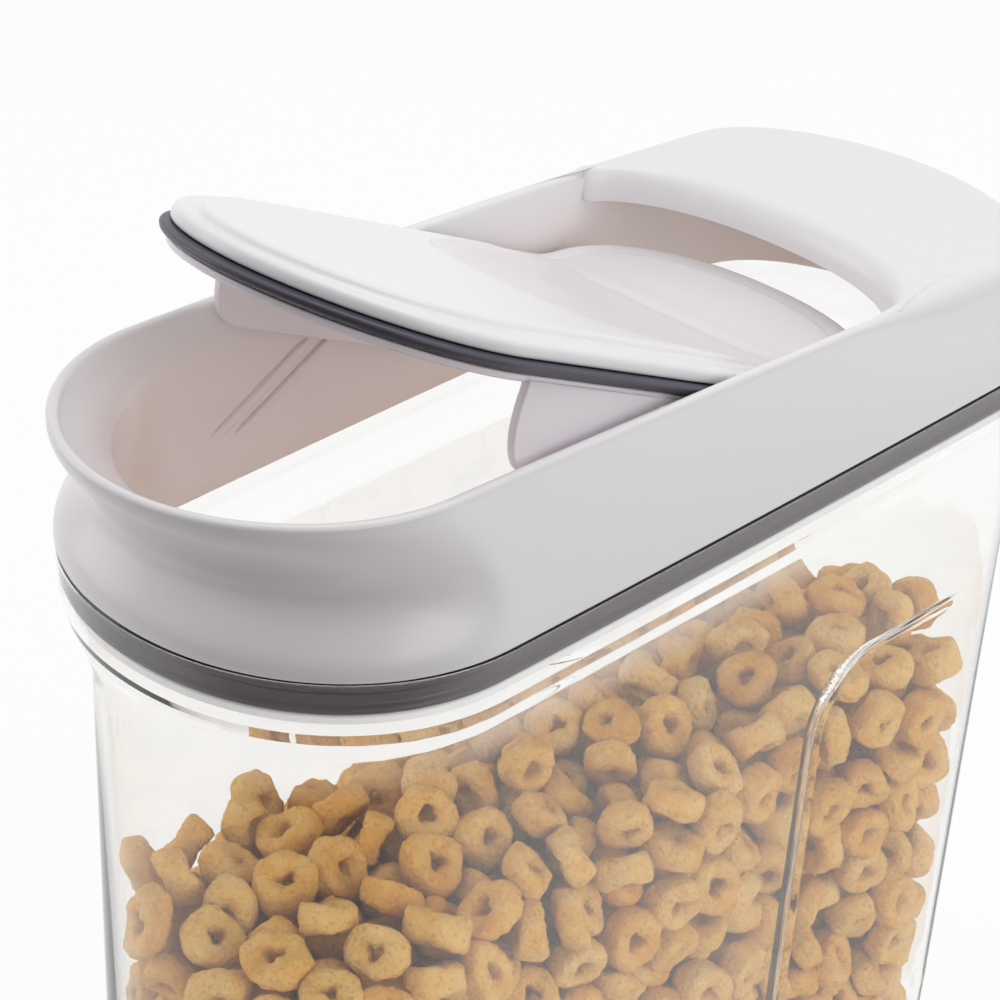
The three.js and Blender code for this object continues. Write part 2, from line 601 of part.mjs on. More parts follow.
// Frame under the seal, with a plug that stands up into the shell and two hinge ears.
function capFrame() {
  const low = -GAP * 2 - CAP_SEAL_THICK, plug = CAP_EDGE + GAP, step = 0.01;
  let frame = loft([capRing(FRAME_IN + 0.5, low - FRAME_FLANGE),
    capRing(FRAME_IN, low - FRAME_FLANGE + 0.4), capRing(FRAME_IN, low),
    capRing(plug, low + step), capRing(plug, CAP_POCKET - 0.4 - GAP)]);
  frame = frame.subtract(loft([capRing(FRAME_RIM, low + 0.2), capRing(FRAME_RIM, JOIN)]));
  const top = CAP_RISE + low - FRAME_FLANGE / 2;
  for (const side of [1, -1]) {
    const face = EAR_OUTER - EAR_THICK, boss = EAR_OUTER - BOSS_THICK;
    frame = frame.add(slab(earShape(top), ...onSide(side, face, EAR_OUTER)));
    frame = frame.add(rod(BOSS_RADIUS, ...onSide(side, boss, EAR_OUTER), 0, 0));
    const detent = onSide(side, EAR_OUTER - EAR_THICK / 2, EAR_OUTER + DETENT_STAND);
    frame = frame.add(rod(DETENT_RADIUS, ...detent, DETENT_Y, DETENT_Z, 16));
    const bore = onSide(side, boss - JOIN, EAR_OUTER + JOIN);
    frame = frame.subtract(rod(PIN_RADIUS + GAP / 2, ...bore, 0, 0));
  }
  return frame;
}

// Pin from the ear's boss into the chute's wall.
function hingePin(side) {
  const ends = onSide(side, EAR_OUTER - BOSS_THICK, BORE_HALF + CHUTE_WALL - GAP);
  return rod(PIN_RADIUS, ...ends, PIVOT_Y, PIVOT_Z);
}

// The assembly

const finishes = {
  clear: { color: 0xe9eef0, roughness: 0.08, metalness: 0, transparent: true, opacity: 0.28 },
  white: { color: 0xf1eff3, roughness: 0.28, metalness: 0 },
  seal: { color: 0x4c4450, roughness: 0.62, metalness: 0 },
  pin: { color: 0xd9d8dc, roughness: 0.4, metalness: 0 },
};

function meshOf(name, solid, finish) {
  const { vertProperties, triVerts } = solid.getMesh();
  const geometry = new THREE.BufferGeometry();
  geometry.setAttribute('position', new THREE.Float32BufferAttribute(vertProperties, 3));
  geometry.setIndex([...triVerts]);
  const mesh = new THREE.Mesh(geometry, new THREE.MeshStandardMaterial(finishes[finish]));
  mesh.name = name;
  return mesh;
}

const dispenser = new THREE.Group();

// everything that is measured from the skirt's front tip and edge
const seated = new THREE.Group();
seated.position.set(0, -MID_Y, RIM_Z);
seated.add(
  meshOf('container', container(), 'clear'),
  meshOf('lid_shell', lidShell(), 'white'),
  meshOf('lid_seal_carrier', sealCarrier(), 'white'),
  meshOf('lid_seal', lidSeal(), 'seal'),
  meshOf('hinge_pin_right', hingePin(1), 'pin'),
  meshOf('hinge_pin_left', hingePin(-1), 'pin'));

// the cap, tipped open about its hinge line
const cap = new THREE.Group();
cap.position.set(0, PIVOT_Y - MID_Y, RIM_Z + PIVOT_Z);
cap.rotation.x = -OPEN_TILT * Math.PI / 180;
cap.add(
  meshOf('cap_shell', capShell(), 'white'),
  meshOf('cap_seal', capSeal(), 'seal'),
  meshOf('cap_frame', capFrame(), 'white'));

dispenser.add(seated, cap);

export default dispenser;
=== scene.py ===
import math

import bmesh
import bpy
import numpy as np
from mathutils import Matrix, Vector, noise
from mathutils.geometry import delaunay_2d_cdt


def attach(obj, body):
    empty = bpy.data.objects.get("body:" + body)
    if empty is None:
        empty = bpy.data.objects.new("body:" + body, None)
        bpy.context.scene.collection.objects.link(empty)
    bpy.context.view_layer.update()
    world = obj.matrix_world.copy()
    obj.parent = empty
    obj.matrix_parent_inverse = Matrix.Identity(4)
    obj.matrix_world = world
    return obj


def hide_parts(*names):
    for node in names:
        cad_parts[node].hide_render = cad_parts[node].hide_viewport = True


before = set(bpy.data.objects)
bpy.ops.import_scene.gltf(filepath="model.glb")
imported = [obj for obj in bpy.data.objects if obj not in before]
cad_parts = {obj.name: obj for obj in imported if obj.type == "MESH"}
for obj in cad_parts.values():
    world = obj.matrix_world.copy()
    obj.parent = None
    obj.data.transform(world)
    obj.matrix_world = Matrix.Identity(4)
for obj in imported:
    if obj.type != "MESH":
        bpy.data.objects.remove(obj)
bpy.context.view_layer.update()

# %% [markdown]
# # A cereal dispenser, piece by piece
# The dispenser is a slim clear tub with a white push-on lid. The lid opens at the front as a
# spout, and a long flip cap rocks in the opening behind it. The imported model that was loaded
# above fixes every place and every joint. Its solids are drawn with few, flat faces, so each
# cell below builds the same form again with many more points, in the same millimetres, and
# lets that mesh stand for the plain solid. A reader can follow it as a way to model moulded
# plastic: outlines in plan, carried up through the height, with every edge rolled.

# %% [markdown]
# The sizes of the real object, in millimetres. Y runs from the skirt's front tip to the rear,
# Z from the skirt's lower edge, which is 204 mm above the counter.

# %% Sizes of the lid
LENGTH, WIDTH, RIM_Z = 252.0, 107.0, 204.0
FRONT_END, REAR_END, END_POWER, SIDE_BOW = 49.0, 32.5, 2.07, 1.1
CREST_IN, CREST_BACK_IN, SPOUT_REACH = 7.5, 6.0, 5.9
CREST_FRONT_END, CREST_POWER, CREST_HEIGHT = 45.5, 1.97, 33.7
CREST_FALL, CREST_SAG = 0.026, 0.00013
LEAN_POWER, SKIRT_BULGE = 1.15, 0.1
NECK_DEPTH, NECK_RISE, RIM_ROLL = 7.7, 15.5, 1.2
SHELL_WALL, RIM_WALL = 2.2, 2.5
DECK_LENGTH, DECK_THICK, DECK_ROLL, DECK_SWELL = 62.5, 3.0, 5.0, 1.06
LIP_DEPTH, LIP_THICK, OPENING_FLARE, OPENING_END = 6.3, 2.6, 6.0, 25.0
OPENING_START, OPENING_POWER = 156.0, 2.2
CHUTE_TIP, CHUTE_BACK_IN, CHUTE_FRONT_END, CHUTE_REAR_END = 10.0, 10.5, 42.0, 26.0
CHUTE_REAR_POWER, CHUTE_DEPTH, CHUTE_WALL, SPOUT_START = 2.15, 13.3, 2.2, 0.6
RIB_START, RIB_LOW, RIB_RUN, RIB_RISE = 61.5, -0.4, 26.7, 13.3
RIB_WIDE, RIB_NARROW, RIB_STEP, RIB_STEP_DOWN, RIB_DEPTH = 2.8, 2.0, 6.8, 1.4, 0.9
GAP = 0.3
MID_Y = (LENGTH - SPOUT_REACH) / 2
CREST_HALF = WIDTH / 2 - CREST_IN
BORE_HALF = CREST_HALF - RIM_WALL
CHUTE_BACK = LENGTH - CHUTE_BACK_IN
OPENING_BACK = LENGTH - DECK_LENGTH
print("half width of the crest", CREST_HALF, "and of the bore", BORE_HALF)

# %% Sizes of the container and the seal
TAPER, WALL, MOUTH_WALL, MOUTH_SET, MOUTH_DROP, MOUTH_DRAFT = 0.028, 2.3, 1.7, 0.2, 7.0, 0.03
WAIST_IN, WAIST_DROP, LEDGE_DROP, LEDGE_RUN = 7.3, 32.0, 12.0, 3.2
LEDGE_SIDE, LEDGE_SIDE_STEEP, LEDGE_TIP, LEDGE_TIP_STEEP = 0.3, 0.38, 0.4, 0.48
THIN_WALL, THIN_BY, THICK_FROM, THICK_TO = 0.3, 20.0, 36.0, 190.0
FLOOR, FOOT_ROUND, FOOT_WIDTH, FOOT_RECESS = 3.2, 8.0, 7.0, 1.6
GRIP_LENGTH, GRIP_TOP, GRIP_BOTTOM, GRIP_DEPTH, GRIP_RUN, GRIP_ROUND = 89.0, 61.0, 176.0, 4.0, 46.0, 18.0
SEAL_HEIGHT, SEAL_TOP, SEAL_THICK, SEAL_GROOVE = 7.4, 1.0, 2.8, 1.1
CARRIER_LIP, CARRIER_TOP, CARRIER_DRAFT = 1.8, 2.5, 0.8
SEAL_IN = MOUTH_WALL + GAP
SEAL_BACK = SEAL_IN + SEAL_THICK
SEAL_LOW = -SEAL_TOP - SEAL_HEIGHT

# %% Sizes of the flip cap, measured from its hinge line
HINGE_BACK, PIVOT_Z, OPEN_TILT = 54.5, 0.0, 24.8
CAP_FRONT_IN, TAIL_ROOM, CAP_ROOM = 5.7, 8.1, 2.0
CAP_FRONT_END, CAP_REAR_END, CAP_POWER, CAP_REAR_POWER = 41.0, 27.0, 1.95, 2.2
CAP_RISE, CAP_THICK, CAP_EDGE, CAP_POCKET = 16.5, 3.6, 4.5, 1.5
TAIL_START, TAIL_SLOPE, TAIL_SOFT = 15.5, 0.353, 5.0
PANEL_RAISE, PANEL_IN, PANEL_FRONT_IN, PANEL_BACK, PANEL_TAILS = 1.3, 6.5, 3.6, -52.0, 8.0
CAP_SEAL_THICK, CAP_SEAL_IN, CAP_TIP_LIP = 2.6, 3.4, 1.6
FRAME_FLANGE, FRAME_IN, FRAME_RIM = 1.6, 1.2, 9.0
EAR_SETBACK, EAR_BACK, EAR_DROP, EAR_ROOM, EAR_THICK, EAR_ROUND = 44.0, 8.0, 6.1, 2.5, 2.0, 8.0
BOSS_RADIUS, BOSS_THICK, PIN_RADIUS = 5.4, 4.2, 2.0
DETENT_Y, DETENT_Z, DETENT_RADIUS, DETENT_STAND = -41.0, 9.5, 1.6, 0.7
PIVOT_Y = OPENING_BACK - HINGE_BACK
CAP_TIP = CAP_FRONT_IN - PIVOT_Y
CAP_BACK = HINGE_BACK - TAIL_ROOM
CAP_HALF = BORE_HALF - CAP_ROOM
EAR_FRONT = CAP_TIP + EAR_SETBACK
EAR_OUTER = BORE_HALF - EAR_ROOM
print("the cap runs from", CAP_TIP, "to", CAP_BACK, "about its hinge line")

# %% [markdown]
# Moulded shells like this one are drawn as outlines in plan that change with height. One
# outline is a long oval: two superellipse ends joined by gently bowed sides. The same list of
# stations samples every outline, so point number i of one outline belongs to point number i
# of the next, and a skin can be stretched between them without any cutting.

# %% Outlines in plan
def mix(a, b, t):
    return a + (b - a) * t


def ease(t):
    t = np.clip(t, 0, 1)
    return t * t * (3 - 2 * t)


def stations(front_steps, side_shares, rear_steps):
    """Where an outline is sampled: angles of the front end, shares of the side, angles of the rear end."""
    front, rear = np.linspace(0, 90, front_steps + 1), np.linspace(90, 0, rear_steps + 1)
    part = np.concatenate([front * 0, np.ones(len(side_shares)), rear * 0 + 2])
    return part, np.concatenate([front, side_shares, rear])


def outline(at, front, back, half, front_end, rear_end, power, rear_power=None, bow=0.0):
    """One closed outline of [x, y] points, from the front tip round by +X to the rear and back."""
    part, value = at
    rear_power = rear_power or power
    p = np.where(part == 2, rear_power, power)
    s = np.clip(np.sin(np.radians(value)), 0, 1) ** (2 / p)
    c = np.clip(np.cos(np.radians(value)), 0, 1) ** (2 / p)
    side = part == 1
    x = np.where(side, half, half * s)
    y = np.where(side, mix(front + front_end, back - rear_end, value),
                 np.where(part == 0, front + front_end * (1 - c), back - rear_end * (1 - c)))
    reach = (back - front) / 2
    x = np.maximum(0, x - bow * ((y - front - reach) / reach) ** 2 * np.minimum(1, x / half))
    x[0] = x[-1] = 0
    right = np.stack([x, y], 1)
    return np.concatenate([right, right[-2:0:-1] * (-1, 1)])


def normals(ring):
    """Outward unit normals of a closed outline."""
    d = np.roll(ring, -1, 0) - np.roll(ring, 1, 0)
    d /= np.linalg.norm(d, axis=1)[:, None]
    return np.stack([d[:, 1], -d[:, 0]], 1)


def inset(ring, d):
    """The outline moved inwards by d, or outwards where d is negative."""
    return ring - normals(ring) * np.reshape(d, (-1, 1))


def lift(ring, z):
    """Gives an outline its height, one number or one per point."""
    return np.column_stack([ring, np.broadcast_to(z, len(ring))])


def facing(ring):
    """1 where an outline faces forwards, 0 along its sides."""
    return np.maximum(0, -normals(ring)[:, 1])


# %% Outlines of the lid
LID_AT = stations(44, np.linspace(0, 1, 61)[1:-1], 44)


def skirt_ring(at):
    return outline(at, 0, LENGTH, WIDTH / 2, FRONT_END, REAR_END, END_POWER, bow=SIDE_BOW)


def bore_low_ring(at):
    return outline(at, CHUTE_TIP, CHUTE_BACK, BORE_HALF, CHUTE_FRONT_END, CHUTE_REAR_END,
                   CREST_POWER, CHUTE_REAR_POWER, SIDE_BOW)


skirt = skirt_ring(LID_AT)
crest = outline(LID_AT, -SPOUT_REACH, LENGTH - CREST_BACK_IN, CREST_HALF, CREST_FRONT_END,
                REAR_END, CREST_POWER, bow=SIDE_BOW)
bore_low = bore_low_ring(LID_AT)
bore_top = inset(outline(LID_AT, -SPOUT_REACH, CHUTE_BACK + RIM_WALL, CREST_HALF,
                         CREST_FRONT_END, CHUTE_REAR_END + RIM_WALL, CREST_POWER,
                         CHUTE_REAR_POWER, SIDE_BOW), RIM_WALL)


def crest_z(y):
    return CREST_HEIGHT - CREST_FALL * y - CREST_SAG * y * y


def deck_share(y):
    """0 along the open rim, 1 on the rear deck."""
    return ease((y - OPENING_BACK + 35) / 40)


def deck_top(y):
    return crest_z(y) + DECK_SWELL * deck_share(y)


print(len(skirt), "points round the lid")

# %% [markdown]
# The tools that turn outlines into a mesh. `skin` stretches quads between a stack of rings, and
# `bar` gives such a skin flat ends. `close` closes a ring with strips that run straight across
# it, so that a floor or a cap's top can take any height. `fill` does the same with triangles
# where an edge has to follow lines inside the ring.

# %% From rings to a mesh
class Build:
    """Collects points and faces of one piece."""

    def __init__(self):
        self.points, self.faces, self.count = [], [], 0

    def add(self, points):
        start = self.count
        self.points.append(np.asarray(points, float))
        self.count += len(points)
        return start

    def skin(self, rings, closed=False):
        """Quads between rings of equal counts. closed joins the last ring to the first."""
        m, n = len(rings), len(rings[0])
        start = self.add(np.concatenate(rings))
        k, i = np.arange(m if closed else m - 1)[:, None], np.arange(n)[None]
        up, on = (k + 1) % m, (i + 1) % n
        quads = np.stack([k * n + i, k * n + on, up * n + on, up * n + i], -1).reshape(-1, 4)
        self.faces += (quads + start).tolist()
        return start

    def bar(self, rings):
        """A skin with a flat face at each end."""
        start, n = self.skin(rings), len(rings[0])
        last = start + n * (len(rings) - 1)
        self.faces += [list(range(start, start + n))[::-1], list(range(last, last + n))]

    def close(self, first, ring, columns, height):
        """Strips across a ring whose points start at number first. height(x, y) gives z."""
        n, half = len(ring), len(ring) // 2
        rows = [[first] * (columns + 1)]
        for i in range(1, half):
            u = np.linspace(0, 1, columns + 1)[1:-1, None]
            inner = mix(ring[i, :2], ring[n - i, :2], u)
            start = self.add(np.column_stack([inner, height(inner[:, 0], inner[:, 1])]))
            rows.append([first + i, *range(start, start + columns - 1), first + n - i])
        rows.append([first + half] * (columns + 1))
        for a, b in zip(rows, rows[1:]):
            for j in range(columns):
                face = dict.fromkeys([a[j], b[j], b[j + 1], a[j + 1]])
                if len(face) > 2:
                    self.faces.append(list(face))

    def fill(self, first, ring, lines, step, height):
        """Triangles inside a ring whose points start at number first, with edges along the given lines."""
        edge = [tuple(p) for p in ring[:, :2].tolist()]
        points, edges = list(edge), [(i, (i + 1) % len(edge)) for i in range(len(edge))]
        for line in lines:
            gap_to_ring = np.linalg.norm(line[:, None] - ring[None, :, :2], axis=2).min(1)
            inside = np.nonzero((gap_to_ring > 0.5) & inside_ring(line, ring))[0]
            for run in np.split(inside, np.nonzero(np.diff(inside) > 1)[0] + 1):
                edges += [(len(points) + i, len(points) + i + 1) for i in range(len(run) - 1)]
                points += [tuple(p) for p in line[run].tolist()]
        low, high = ring[:, :2].min(0), ring[:, :2].max(0)
        grid = np.stack(np.meshgrid(np.arange(low[0], high[0], step), np.arange(low[1], high[1], step)), -1)
        grid = grid.reshape(-1, 2)
        taken = np.array(points)
        free = np.array([np.linalg.norm(taken - p, axis=1).min() > 0.6 * step for p in grid])
        points += [tuple(p) for p in grid[free & inside_ring(grid, ring)].tolist()]
        found, _, faces, origin, _, _ = delaunay_2d_cdt([Vector(p) for p in points], edges, [], 1, 1e-5)
        extra = np.array([tuple(v) for v in found])
        start = self.add(np.column_stack([extra, height(extra[:, 0], extra[:, 1])]))
        number = [min(o) if o and min(o) < len(edge) else None for o in origin]
        index = [start + i if k is None else first + k for i, k in enumerate(number)]
        self.faces += [[index[i] for i in face] for face in faces]

    def all_points(self):
        return np.concatenate(self.points)


def inside_ring(points, ring):
    """Which points lie inside a closed outline."""
    a, b = ring[:, :2], np.roll(ring[:, :2], -1, 0)
    x, y = points[:, 0, None], points[:, 1, None]
    rise = np.where(b[:, 1] == a[:, 1], 1e-12, b[:, 1] - a[:, 1])
    cross = ((a[:, 1] > y) != (b[:, 1] > y)) & (x < (b[:, 0] - a[:, 0]) * (y - a[:, 1]) / rise + a[:, 0])
    return cross.sum(1) % 2 == 1


def from_lid(p):
    """Lid and container points, in mm, to the frame, in metres."""
    return (np.asarray(p) + (0, -MID_Y, RIM_Z)) / 1000


def from_cap(p):
    """Points of the cap about its hinge line, tipped open, to the frame."""
    p, a = np.asarray(p), math.radians(-OPEN_TILT)
    y = p[:, 1] * math.cos(a) - p[:, 2] * math.sin(a)
    z = p[:, 1] * math.sin(a) + p[:, 2] * math.cos(a)
    return np.column_stack([p[:, 0], y + PIVOT_Y - MID_Y, z + RIM_Z + PIVOT_Z]) / 1000


def piece(name, build, place, body, node, crisp=38, marks=None):
    """Makes the object, joins doubled points, shades it smooth and seats it on its body."""
    mesh = bpy.data.meshes.new(name)
    mesh.from_pydata(place(build.all_points()).tolist(), [], build.faces)
    for mark, values in (marks or {}).items():
        mesh.attributes.new(mark, "FLOAT", "POINT").data.foreach_set("value", values.astype(np.float32))
    bm = bmesh.new()
    bm.from_mesh(mesh)
    bmesh.ops.remove_doubles(bm, verts=bm.verts, dist=2e-6)
    bmesh.ops.dissolve_degenerate(bm, edges=bm.edges, dist=1e-7)
    bmesh.ops.recalc_face_normals(bm, faces=bm.faces)
    bm.to_mesh(mesh)
    open_edges = sum(len(e.link_faces) != 2 for e in bm.edges)
    bm.free()
    mesh.polygons.foreach_set("use_smooth", [True] * len(mesh.polygons))
    mesh.set_sharp_from_angle(angle=math.radians(crisp))
    o = bpy.data.objects.new(name, mesh)
    bpy.context.scene.collection.objects.link(o)
    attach(o, body)
    if node:
        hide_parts(node)
    print(name, len(mesh.polygons), "faces,", open_edges, "open edges")
    return o


# %% [markdown]
# The lid shell is one moulding: the skirt that hides the tub's mouth, a hollow neck under the
# spout's lip, a thin rim, a flat deck at the rear and the chute inside. Cutting one solid from
# another would leave knife edges. Here one section is carried round the lid instead, up the
# outer skin, over the rim or the deck, down into the chute and back below, so every edge has
# the soft roll that the mould gave it.

# %% Outer skin
skirt_facing = facing(skirt)


def skin_ring(t, wall=0.0):
    """The outer skin at a share t of the crest's height. t may differ by point."""
    t = np.broadcast_to(np.asarray(t, float), len(skirt))
    lean = t ** LEAN_POWER - SKIRT_BULGE * np.sin(np.pi * t)
    z, low, high = t * CREST_HEIGHT, 2.0, CREST_HEIGHT * 0.96
    up = ease((z - low) / (NECK_RISE - low))
    down = 1 - ease((z - NECK_RISE) / (high - NECK_RISE))
    ring = mix(skirt, crest, lean[:, None])
    return inset(ring, wall + NECK_DEPTH * skirt_facing ** 0.8 * up * down)


share = deck_share(crest[:, 1])
roll = mix(RIM_ROLL, DECK_ROLL, share)
swell = DECK_SWELL * share
top = crest_z(crest[:, 1]) + swell
lid_rings = [lift(inset(skirt, 0.5), 0.0), lift(inset(skirt, 0.15), 0.12)]
for t in np.linspace(0.012, 1, 36)[:-1]:
    ramp = max(0, (t - 0.6) / 0.4) ** 2
    lid_rings.append(lift(inset(skin_ring(t), -swell * ramp), t * (top - roll)))
for a in np.radians(np.linspace(0, 90, 9)):
    ring = inset(skin_ring(1), roll * (1 - math.cos(a)) - swell)
    lid_rings.append(lift(ring, top - roll * (1 - math.sin(a))))
print("outer skin", len(lid_rings), "rings")

# %% [markdown]
# At the rear the opening is shorter than the chute below it. Its edge is a wide roll that
# turns down into a lip. The opening's rear curve is spread over the crest's points by length,
# so the deck between them is a clean fan of quads.

# %% Rim, deck and the lip round the opening
n_half = len(crest) // 2
run = np.concatenate([[0], np.cumsum(np.linalg.norm(np.diff(crest[:n_half + 1], axis=0), axis=1))])
turn = np.interp(OPENING_START, crest[:n_half + 1, 1], run)
along = np.clip((run - turn) / (run[-1] - turn), 0, 1)
fine_angle = np.radians(np.linspace(90, 0, 400))


def opening_curve(out):
    """Right half of the opening's rear edge for a roll that is out by a share of its width."""
    flare, side = OPENING_FLARE * out, 0.5 + 2 * out
    s = np.sin(fine_angle) ** (2 / OPENING_POWER)
    c = np.cos(fine_angle) ** (2 / OPENING_POWER)
    x = (BORE_HALF + side) * s
    y = OPENING_BACK + flare - (OPENING_END + flare) * (1 - c)
    x, y = np.concatenate([[x[0]], x]), np.concatenate([[OPENING_START], y])
    length = np.concatenate([[0], np.cumsum(np.hypot(np.diff(x), np.diff(y)))])
    at = along * length[-1]
    return np.column_stack([np.interp(at, length, x), np.interp(at, length, y)])


def whole(right):
    """A full ring from its right half."""
    return np.concatenate([right, right[-2:0:-1] * (-1, 1)])


blend = ease((opening_curve(0.4)[:, 1] - 160) / 15) * (along > 0)
blend = np.concatenate([blend, blend[-2:0:-1]])
edge_rows = []
for a in np.radians(np.linspace(90, 0, 11)):
    out, fall = 1 - math.cos(a), 1 - math.sin(a)
    rim = inset(bore_top, -RIM_ROLL * out)
    lip = whole(opening_curve(out))
    rim_z = crest_z(rim[:, 1]) - RIM_ROLL * fall
    lip_z = deck_top(lip[:, 1]) - (LIP_DEPTH + DECK_SWELL) * fall
    edge_rows.append(lift(mix(rim, lip, blend[:, None]), mix(rim_z, lip_z, blend)))
outer_edge, inner_edge = lid_rings[-1], edge_rows[0]
extra = outer_edge[:, 2] - deck_top(outer_edge[:, 1])
for u in np.linspace(0, 1, 12)[1:-1]:
    flat_xy = mix(outer_edge[:, :2], inner_edge[:, :2], u)
    lid_rings.append(lift(flat_xy, deck_top(flat_xy[:, 1]) * blend + (1 - blend)
                          * mix(outer_edge[:, 2], inner_edge[:, 2], u) + extra * blend * (1 - u) ** 3))
edge_first = len(lid_rings)
lid_rings += edge_rows
print("opening rear edge at", round(float(inner_edge[n_half, 1]), 2), "mm")

# %% Back of the lip, underside of the deck, and the chute
lip_end = edge_rows[-1]
under_z = mix(lip_end[:, 2], deck_top(lip_end[:, 1]) - DECK_THICK, blend)
for wide, down in [(0.25, 0.35), (0.75, 0.35), (1.0, 0.0)]:
    ring = inset(lip_end[:, :2], -LIP_THICK * blend * wide)
    lid_rings.append(lift(ring, lip_end[:, 2] - down * blend))
back_of_lip = inset(lip_end[:, :2], -LIP_THICK * blend)
lid_rings.append(lift(back_of_lip, under_z))
wall_top = crest_z(bore_top[:, 1]) - RIM_ROLL
wall_low = SPOUT_START * wall_top


def bore_ring(z):
    """The chute's bore at a height z, leaning out into the spout above its straight part."""
    lean = ease((z / wall_top - SPOUT_START) / (1 - SPOUT_START))
    return mix(bore_low, bore_top, lean[:, None])


meet_z = mix(wall_top, deck_top(bore_top[:, 1]) - DECK_THICK, blend)
meet = bore_ring(meet_z)
for u in (0.25, 0.5, 0.75):
    lid_rings.append(lift(mix(back_of_lip, meet, u), mix(under_z, meet_z, u)))
for u in np.linspace(0, 1, 16):
    z = mix(meet_z, wall_low, u)
    lid_rings.append(lift(bore_ring(z), z))
edge = CHUTE_WALL / 2
for u in np.linspace(0, 1, 9)[1:]:
    lid_rings.append(lift(bore_low, mix(wall_low, edge - CHUTE_DEPTH, u)))
for a in np.radians(np.linspace(0, 180, 9))[1:]:
    lid_rings.append(lift(inset(bore_low, -edge * (1 - math.cos(a))),
                          edge - CHUTE_DEPTH - edge * math.sin(a)))
chute_last = len(lid_rings)
roof_t = mix(0.5, 0.15, skirt_facing ** 0.5)
roof_z = roof_t * (top - roll)
outside = inset(bore_low, -CHUTE_WALL)
for u in (0.3, 0.6, 0.9, 1.0):
    lid_rings.append(lift(outside, mix(edge - CHUTE_DEPTH, roof_z, u)))
for u in np.linspace(1, 0, 8):
    t = roof_t * u
    lid_rings.append(lift(skin_ring(t, SHELL_WALL), t * (top - roll)))
lid_build = Build()
lid_build.skin(lid_rings, closed=True)
print("section of", len(lid_rings), "points")

# %% [markdown]
# Two slanting ribs stand on each side wall of the chute, a wide one and a narrow one behind
# it. Each is a short bar with a rounded back and run-out ends, sunk a little into the wall.

# %% Ribs in the chute
def bore_at(y):
    middle, reach = (CHUTE_TIP + CHUTE_BACK) / 2, (CHUTE_BACK - CHUTE_TIP) / 2
    return BORE_HALF - SIDE_BOW * ((y - middle) / reach) ** 2


rib_length = math.hypot(RIB_RUN, RIB_RISE)
for k, wide in enumerate([RIB_WIDE, RIB_NARROW]):
    low_y, low_z = RIB_START + k * RIB_STEP, RIB_LOW - k * RIB_STEP_DOWN
    for side in (1, -1):
        rings = []
        for u in np.linspace(-0.02, 1.02, 27):
            fade = min(1, ease((u + 0.02) / 0.1), ease((1.02 - u) / 0.1)) ** 0.5
            a = np.radians(np.linspace(0, 180, 13))
            across = wide / 2 * np.sign(np.cos(a)) * np.abs(np.cos(a)) ** 0.6 * mix(0.5, 1, fade)
            stand = RIB_DEPTH * np.sin(a) ** 0.8 * fade
            across = np.concatenate([across, [-wide / 2 * 0.6, wide / 2 * 0.6]])
            stand = np.concatenate([stand, [-0.7, -0.7]])
            y = low_y + RIB_RUN * u - across * RIB_RISE / rib_length
            z = low_z + RIB_RISE * u + across * RIB_RUN / rib_length
            rings.append(np.column_stack([side * (bore_at(y) - stand + 0.02), y, z]))
        lid_build.bar(rings)

# %% [markdown]
# The chute and the hollow neck take painted warm light: a warm tint in the colour stands in for
# light bounced from the cereal and glowing through the thin plastic, strong deep in the chute and
# weaker on the neck. How much of it a point takes is stored on the points, and the finish reads it from
# there.

# %% Painted warm light on the lid, and the lid itself
# how deep in the chute the painted warm light reaches full strength, and its share on the neck
PAINTED_LIGHT_DEPTH, NECK_PAINTED_LIGHT = 16.0, 0.6
lid_points = lid_build.all_points()
painted_warm_light = np.zeros(len(lid_points))
n_ring = len(skirt)
inside = slice(edge_first * n_ring, chute_last * n_ring)
# painted warm light grows with depth below the crest, and the ribs take it fully
painted_warm_light[inside] = ease((crest_z(lid_points[inside, 1]) - lid_points[inside, 2] - 1) / PAINTED_LIGHT_DEPTH)
painted_warm_light[len(lid_rings) * n_ring:] = 1
# painted warm light on the front of the hollow neck, strongest halfway up
for k in range(edge_first):
    height_share = np.clip(lid_rings[k][:, 2] / CREST_HEIGHT, 0, 1)
    tint = NECK_PAINTED_LIGHT * skirt_facing ** 0.8 * np.sin(np.pi * height_share)
    painted_warm_light[k * n_ring:(k + 1) * n_ring] = tint * (height_share < 0.98)
lid = piece("lid_moulding", lid_build, from_lid, "lid", "lid_shell",
            marks={"painted_warm_light": painted_warm_light})

# %% [markdown]
# Below the lid hangs a white ring that carries the seal. Its flange shows through the clear
# mouth as a pale line under the dark seal.

# %% Seal carrier
groove, flange = SEAL_BACK + GAP, SHELL_WALL + GAP + CARRIER_DRAFT
lip_d = SEAL_IN + SEAL_GROOVE + GAP / 2
low_z, high_z = SEAL_LOW - GAP, GAP - SEAL_TOP
carrier_foot = low_z - CARRIER_LIP
chute_clear = inset(bore_low, -CHUTE_WALL - GAP)
carrier_section = [(skirt, lip_d + 0.4, carrier_foot), (skirt, lip_d + 0.1, carrier_foot + 0.12),
                   (skirt, lip_d, carrier_foot + 0.4), (skirt, lip_d, low_z - 0.3),
                   (skirt, lip_d + 0.3, low_z), (skirt, groove, low_z + 0.01), (skirt, groove, high_z),
                   (skirt, flange, high_z + 0.01), (skirt, flange, CARRIER_TOP),
                   (chute_clear, 0, CARRIER_TOP), (chute_clear, 0, carrier_foot + 0.4),
                   (chute_clear, -0.4, carrier_foot)]
carrier_build = Build()
carrier_build.skin([lift(inset(ring, d), z) for ring, d, z in carrier_section], closed=True)
carrier = piece("seal_carrier", carrier_build, from_lid, "lid", "lid_seal_carrier")

# %% [markdown]
# The lid's seal is a silicone ring with two soft ribs that press on the mouth from inside.

